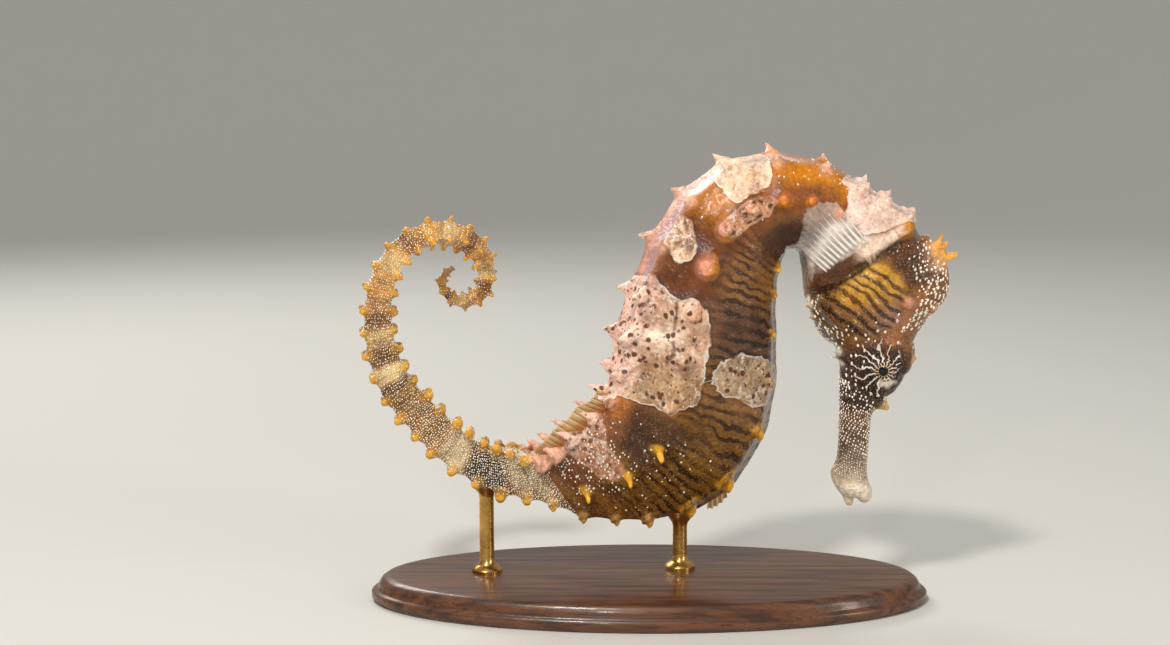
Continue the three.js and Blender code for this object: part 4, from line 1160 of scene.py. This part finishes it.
def sow_beads(name, rows):
    """Set a dome at every place. A row is its places, their size and how far the domes are drawn out."""
    bead_points, bead_faces = [], []
    for spots, size, stretch in rows:
        for spot in spots:
            place, normal, _, gap = skin_tree.find_nearest(tuple(spot))
            place, normal = np.array(place), np.array(normal)
            if gap > BEAD_REACH or min(np.linalg.norm(place - eye_points[side][0]) for side in SIDES) < EYE_CLEAR:
                continue
            first = unit(np.cross(normal, [0.2, 0.3, 0.93]))
            second = np.cross(normal, first)
            radius = BEAD_SIZE * size * random.uniform(0.7, 1.25)
            start = len(bead_points) * len(dome)
            second = second * stretch * random.uniform(0.85, 1.2)
            bead_points.append(place + radius * (dome[:, :1] * first + dome[:, 1:2] * second + dome[:, 2:] * normal))
            bead_faces += [tuple(v + start for v in f) for f in dome_faces]
    made = piece_from(name, np.vstack(bead_points), bead_faces)
    bpy.ops.object.shade_smooth()
    made.data.transform(Matrix.Scale(MM, 4))
    made.data.materials.append(bead_finish)
    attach(made, "root")


bead_finish = start_finish("bead_pale")
colour, height = mottled(paint(252, 244, 228), 0.3)
join(shader, {"Base Color": colour, "Roughness": 0.22, "Coat Weight": 0.6, "Coat Roughness": 0.08,
              "Normal": pressed_in(height, 0.3, 0.0001)})
sow_beads("tail_beads", [
    (bead_places(16.2, 24, 0.11, 0.35, body_surface, stray=0.26), 0.72, 1.1),
    (bead_places(24, 34, 0.15, 0.36, body_surface, keep=0.9, stray=0.26), 0.66, 1.1),
    (bead_places(34, 45, 0.24, 0.4, body_surface, keep=0.8), 0.7, 1.0),
])
sow_beads("skin_beads", [
    (bead_places(13.1, 15.6, 0.15, 0.55, body_surface, (30, 96), 0.42), 1.0, 1.3),
    (bead_places(11.8, 16.2, 0.2, 0.8, body_surface, (25, 124), 0.16), 1.0, 1.2),
    (bead_places(2.4, 5.2, 0.12, 0.8, body_surface, (14, 64), 0.16), 0.85, 1.2),
    (bead_places(2.2, 11.4, 0.35, 1.3, body_surface, (20, 95), 0.07), 0.9, 1.3),
    (bead_places(2.9, 4.4, 0.12, 0.6, body_surface, (20, 46), 0.3), 0.8, 1.2),
    (bead_places(7.4, 8.6, 0.17, 0.52, head_surface, keep=0.55, slant=0.27, stray=0.16, lean=0.5), 1.0, 1.4),
    (bead_places(8.6, 10.6, 0.135, 0.42, head_surface, keep=0.9, slant=0.27, stray=0.16, lean=0.5), 0.8, 1.4),
    (bead_places(10.6, 12.1, 0.125, 0.38, head_surface, keep=0.8, slant=0.27, stray=0.18, lean=0.4), 0.6, 1.3),
    (bead_places(0.0, 4.4, 0.18, 0.72, head_surface, (6, 54), 0.6), 1.25, 1.5),
    (bead_places(-0.2, 4.4, 0.18, 0.8, head_surface, (6, 56), 0.35), 0.85, 1.1),
    (bead_places(3.0, 8.0, 0.18, 0.85, head_surface, (8, 180), 0.2), 1.3, 1.6),
    (bead_places(0.6, 5.0, 0.22, 0.9, head_surface, (132, 180), 0.4), 1.3, 1.4),
])

# ---------------------------------------------------------------------------------------------------
# Eyes: wet balls deep in the turrets, a black pupil with a fine gold edge and a dark iris that pale
# lines run across, the clear front standing a little proud.
# ---------------------------------------------------------------------------------------------------

EYE_BULGE = 0.10  # how far the clear front stands out, millimetres
eye_finish = start_finish("eye_wet")
for side, name in zip(SIDES, ("eye_right", "eye_left")):
    centre, along, _, outward = eye_points[side]
    deselect_all()
    bpy.ops.mesh.primitive_uv_sphere_add(segments=64, ring_count=40, radius=EYE_RADIUS)
    eyeball = bpy.context.object
    eyeball.name = name + "_ball"
    points = vertices_of(eyeball)
    front = points[:, 2] > 0
    from_axis = np.hypot(points[:, 0], points[:, 1])
    points[:, 2] += np.where(front, EYE_BULGE * (1 - smooth(from_axis, 0.3, 1.0)), 0)
    for kept, values in (("across", points[:, 0]), ("up", points[:, 1] * side), ("front", front)):
        keep_on(eyeball, kept, values)
    placed = centre + points @ np.array([along, np.cross(outward, along), outward])
    eyeball.data.vertices.foreach_set("co", (placed * MM).ravel())
    eyeball.data.update()
    bpy.ops.object.shade_smooth()
    eyeball.data.materials.append(eye_finish)
    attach(eyeball, "root")
    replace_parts(eyeball, name)
IRIS_LINES = 15
across, upward = attribute("across"), attribute("up")
eye_noise = clouds(where, 1600, 3)
around_eye = plus(math_node("ARCTAN2", upward, across), swing(eye_noise, 0.5))
ray = ramp(math_node("SINE", times(around_eye, IRIS_LINES)), 0.35, 0.9)
edge = plus(distance(across, upward), swing(eye_noise, 0.12))
iris = blend_colour(eye_noise, paint(44, 22, 24), paint(92, 52, 40))
iris = blend_colour(times(ray, 0.85), iris, paint(240, 222, 200))
iris = blend_colour(times(ramp(edge, 0.80, 0.72), 0.7), iris, paint(190, 150, 90))  # gold edge
pupil = times(ramp(edge, 0.68, 0.62), attribute("front"))
join(shader, {"Base Color": blend_colour(pupil, iris, (0.004, 0.004, 0.005, 1)), "Roughness": 0.12,
              "Specular IOR Level": 0.2, "Coat Weight": 0.35, "Coat Roughness": 0.01,
              "Normal": pressed_in(ray, 0.2, 0.0001)})

# ---------------------------------------------------------------------------------------------------
# Fins: thin clear webs on fine rays. The two breast fins fan out behind the gill covers, the back fin
# lies half folded on the lower back, and a tiny one sits behind the belly.
# ---------------------------------------------------------------------------------------------------

fin_finish = start_finish("fin_clear")
fin_ray = attribute("ray")
web, height = mottled(attribute("web", "Color"), 0.4)
fin_colour = blend_colour(ramp(fin_ray, 0.25, 0.9), web, attribute("rays", "Color"))
fin_colour = blend_colour(attribute("foot"), fin_colour, paint(190, 112, 30))
join(shader, {"Base Color": fin_colour, "Alpha": larger(ramp(fin_ray, 0.25, 0.75), attribute("solid")),
              "Roughness": 0.32, "Coat Weight": 0.5, "Coat Roughness": 0.08,
              "Normal": pressed_in(height, 0.35, 0.0001)})

STATIONS_TO_A_RAY, FIN_ROWS = 6, 15  # how finely a fin is drawn across its rays and along them


def make_fin(name, feet, tips, rays, ray_thickness, web_thickness, web_colour, ray_colour, solid=0.0, foot_colour=0.0,
             ray_fade=0.0, ray_width=0.0, ripple_depth=0.0, curl=0.0, foot_lobes=0.0):
    """A web between feet and tips, given at a few stations each, on even rays that may be lobed at the foot."""
    stations = np.linspace(0, len(feet) - 1, rays * STATIONS_TO_A_RAY + 1)
    rows = np.linspace(0, 1, FIN_ROWS)
    foot, tip = spline(feet, stations), spline(tips, stations)
    ripple = np.cos(np.linspace(0, rays, len(stations)) * 2 * math.pi)
    ray = np.clip(ripple + ray_width, 0, 1) ** 1.2
    scallop = (0.07 - 0.04 * foot_lobes) * (1 - ray[:, None]) * rows ** 2
    length = np.linalg.norm(tip - foot, axis=1, keepdims=True)
    normal = unit(np.cross(unit(np.gradient(foot, axis=0)), tip - foot))
    middle = foot[:, None] + (tip - foot)[:, None] * (rows * (1 - scallop))[..., None]
    rise = curl * length * rows ** 2 + ripple_depth * ripple[:, None] * rows
    middle = middle + normal[:, None] * rise[..., None]
    thick = (web_thickness + (ray_thickness - web_thickness) * ray)[:, None] * (1 - 0.6 * rows)[None]
    half = normal[:, None] * thick[..., None] / 2
    shells.clear()
    add_shell(np.concatenate([middle + half, (middle - half)[:, ::-1]], axis=1))
    points, faces = shells[0]
    made = piece_from(name, points, faces)
    bpy.ops.object.mode_set(mode="EDIT")
    bpy.ops.mesh.select_all(action="SELECT")
    bpy.ops.mesh.normals_make_consistent(inside=False)
    bpy.ops.object.mode_set(mode="OBJECT")
    bpy.ops.object.shade_smooth()
    made.data.transform(Matrix.Scale(MM, 4))
    up = np.concatenate([rows, rows[::-1]])
    film = 0.04 + 0.24 * foot_lobes * (1 - smooth(up, 0.3, 0.42)) + 0.8 * bump((up - 0.45) / 0.1, 1) \
        + 0.13 * smooth(up, 0.5, 0.62)
    every = np.ones((len(stations), 1))
    for kept, values, ends in (
            ("ray", ray[:, None] * (1.1 - ray_fade * up + 0.8 * foot_lobes * bump(up / 0.34, 1)), 0),
            ("solid", every * np.maximum(film, solid), solid),
            ("foot", every * foot_colour * (1 - smooth(up, 0.15, 0.85)), 0)):
        keep_on(made, kept, np.append(values.ravel(), [ends, ends]))
    for kept, colour in (("web", web_colour), ("rays", ray_colour)):
        keep_on(made, kept, np.tile(paint(*colour), (len(points), 1)))
    made.data.materials.append(fin_finish)
    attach(made, "root")
    return made


STAND_OUT = math.radians(22)  # how far a breast fin stands out from the side
for side, name in zip(SIDES, ("right", "left")):
    feet, tips = [], []
    for share in np.linspace(0, 1, 8):
        ring, angle = 0.98 - 0.56 * share, 82 + 46 * share
        centre, back, _, tailward = at_ring(ring)
        foot = body_spot(ring, angle * side)
        outward = unit(foot - centre)
        fan = math.radians(-20 + 10 * share)
        way = tailward * math.cos(fan) + unit(back) * math.sin(fan)
        way = way * math.cos(STAND_OUT) + outward * math.sin(STAND_OUT)
        feet.append(foot - outward * 0.05 - tailward * 0.35)
        tips.append(feet[-1] + way * (5.8 + 2.5 * float(bump(share - 0.32, 0.36))))
    fin = make_fin("breast_fin_" + name, np.array(feet), np.array(tips), 10, 0.42, 0.1, (252, 242, 236),
                   (255, 250, 242), ray_fade=0.95, ray_width=0.16, ripple_depth=0.07, curl=0.10 * side, foot_lobes=1.0)
    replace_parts(fin, "pectoral_fin_" + name)


def middle_fin(name, start, end, up, rays, height, lean, foot_colour, stations=8):
    """A fin on the middle line, up the back or down the belly, that leans back by some degrees."""
    feet, tips = [], []
    lean = math.radians(lean)
    for share in np.linspace(0, 1, stations):
        u = start + (end - start) * share
        _, back, _, tailward = at_ring(u)
        outward = unit(back) * up
        foot = body_spot(u, 0 if up > 0 else 180) - outward * 0.25
        way = outward * math.cos(lean) + tailward * math.sin(lean)
        feet.append(foot)
        tips.append(foot + way * (0.25 + height * (0.55 + 0.45 * math.sin(math.pi * (0.15 + 0.75 * share)))))
    return make_fin(name, np.array(feet), np.array(tips), rays, 0.5, 0.16, (208, 172, 116), (244, 226, 184),
                    solid=0.85, foot_colour=foot_colour, ray_fade=0.2, ripple_depth=0.17)


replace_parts(middle_fin("back_fin", 11.8, 15.8, 1, 17, 3.0, 14, 0.75), "dorsal_fin")
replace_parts(middle_fin("belly_fin", 12.2, 12.7, -1, 4, 1.3, 45, 0.3, 4), "anal_fin")

# ---------------------------------------------------------------------------------------------------
# Stand: an oval of dark polished hardwood with a moulded edge, and two brass rods that end in small
# cups under the belly and the tail.
# ---------------------------------------------------------------------------------------------------

BASE_LENGTH, BASE_WIDTH = 0.076, 0.036
edge_profile = [(0, 0), (0.0372, 0), (0.0376, 0.0002), (0.038, 0.0006), (0.038, 0.0013), (0.0377, 0.0016),
                (0.0373, 0.0017), (0.0371, 0.0019), (0.0370, 0.0024), (0.0366, 0.0030), (0.0360, 0.0034),
                (0.0352, 0.0035), (0, 0.0035)]


def smooth_edges(piece, degrees):
    """Shade a piece smooth, and keep the edges that turn by more than that."""
    deselect_all()
    piece.select_set(True)
    bpy.context.view_layer.objects.active = piece
    bpy.ops.object.shade_smooth_by_angle(angle=math.radians(degrees))


base = turned_piece("stand_wood_base", edge_profile, 128)
base.data.transform(Matrix.Diagonal((1, BASE_WIDTH / BASE_LENGTH, 1, 1)))
smooth_edges(base, 40)
wood_finish = start_finish("wood_polished")
wood_grain = clouds(stretched(where, 60, 900, 900), 1.0, 6, Roughness=0.62, Distortion=0.4)
pores = clouds(stretched(where, 400, 5200, 5200), 1.0, 2)
wood = blend_colour(ramp(wood_grain, 0.32, 0.68), paint(58, 33, 20), paint(112, 68, 40))
wood = blend_colour(ramp(pores, 0.60, 0.72), wood, paint(32, 18, 12))
join(shader, {"Base Color": wood, "Roughness": ramp(wood_grain, 0.3, 0.7, 0.38, 0.28), "Coat Weight": 0.2,
              "Coat Roughness": 0.1, "Normal": pressed_in(pores, 0.25, 0.0001)})
base.data.materials.append(wood_finish)
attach(base, "root")
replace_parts(base, "stand_base")

CUP_RISE = 0.0004  # how far a cup's lip stands up round the skin that rests in it
brass_finish = start_finish("brass_brushed")
brushed = clouds(stretched(where, 900, 900, 9000), 1.0, 3)
tarnish = clouds(where, 300, 4)
join(shader, {"Base Color": blend_colour(ramp(tarnish, 0.35, 0.7), paint(214, 172, 96), paint(160, 116, 58)),
              "Roughness": ramp(brushed, 0.3, 0.7, 0.2, 0.36), "Metallic": 1.0,
              "Normal": pressed_in(brushed, 0.2, 0.00005)})
FOOT_PROFILE = [(0, 0.0033), (0.0021, 0.0033), (0.0021, 0.0039), (0.0018, 0.0043), (0.00135, 0.0045), (0.00105, 0.0049),
                (0.001, 0.0056)]
CUP_PROFILE = [(0.001, -0.0022), (0.0011, -0.0017), (0.00155, -0.0011), (0.0019, -0.0004), (0.0020, 0),
               (0.0017, 0.0001), (0.0009, -0.0004), (0, -0.0005)]  # heights from the cup's lip
for name in ("front", "rear"):
    lowest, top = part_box("stand_rod_" + name)
    x, y = (lowest.x + top.x) / 2, (lowest.y + top.y) / 2
    under = skin_tree.ray_cast((x / MM, y / MM, 5), (0, 0, 1))[0]
    lip = under.z * MM + CUP_RISE
    rod = turned_piece("stand_brass_rod_" + name, FOOT_PROFILE + [(r, lip + z) for r, z in CUP_PROFILE], 40)
    rod.data.transform(Matrix.Translation((x, y, 0)))
    smooth_edges(rod, 35)
    rod.data.materials.append(brass_finish)
    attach(rod, "root")
    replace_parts(rod, "stand_rod_" + name)
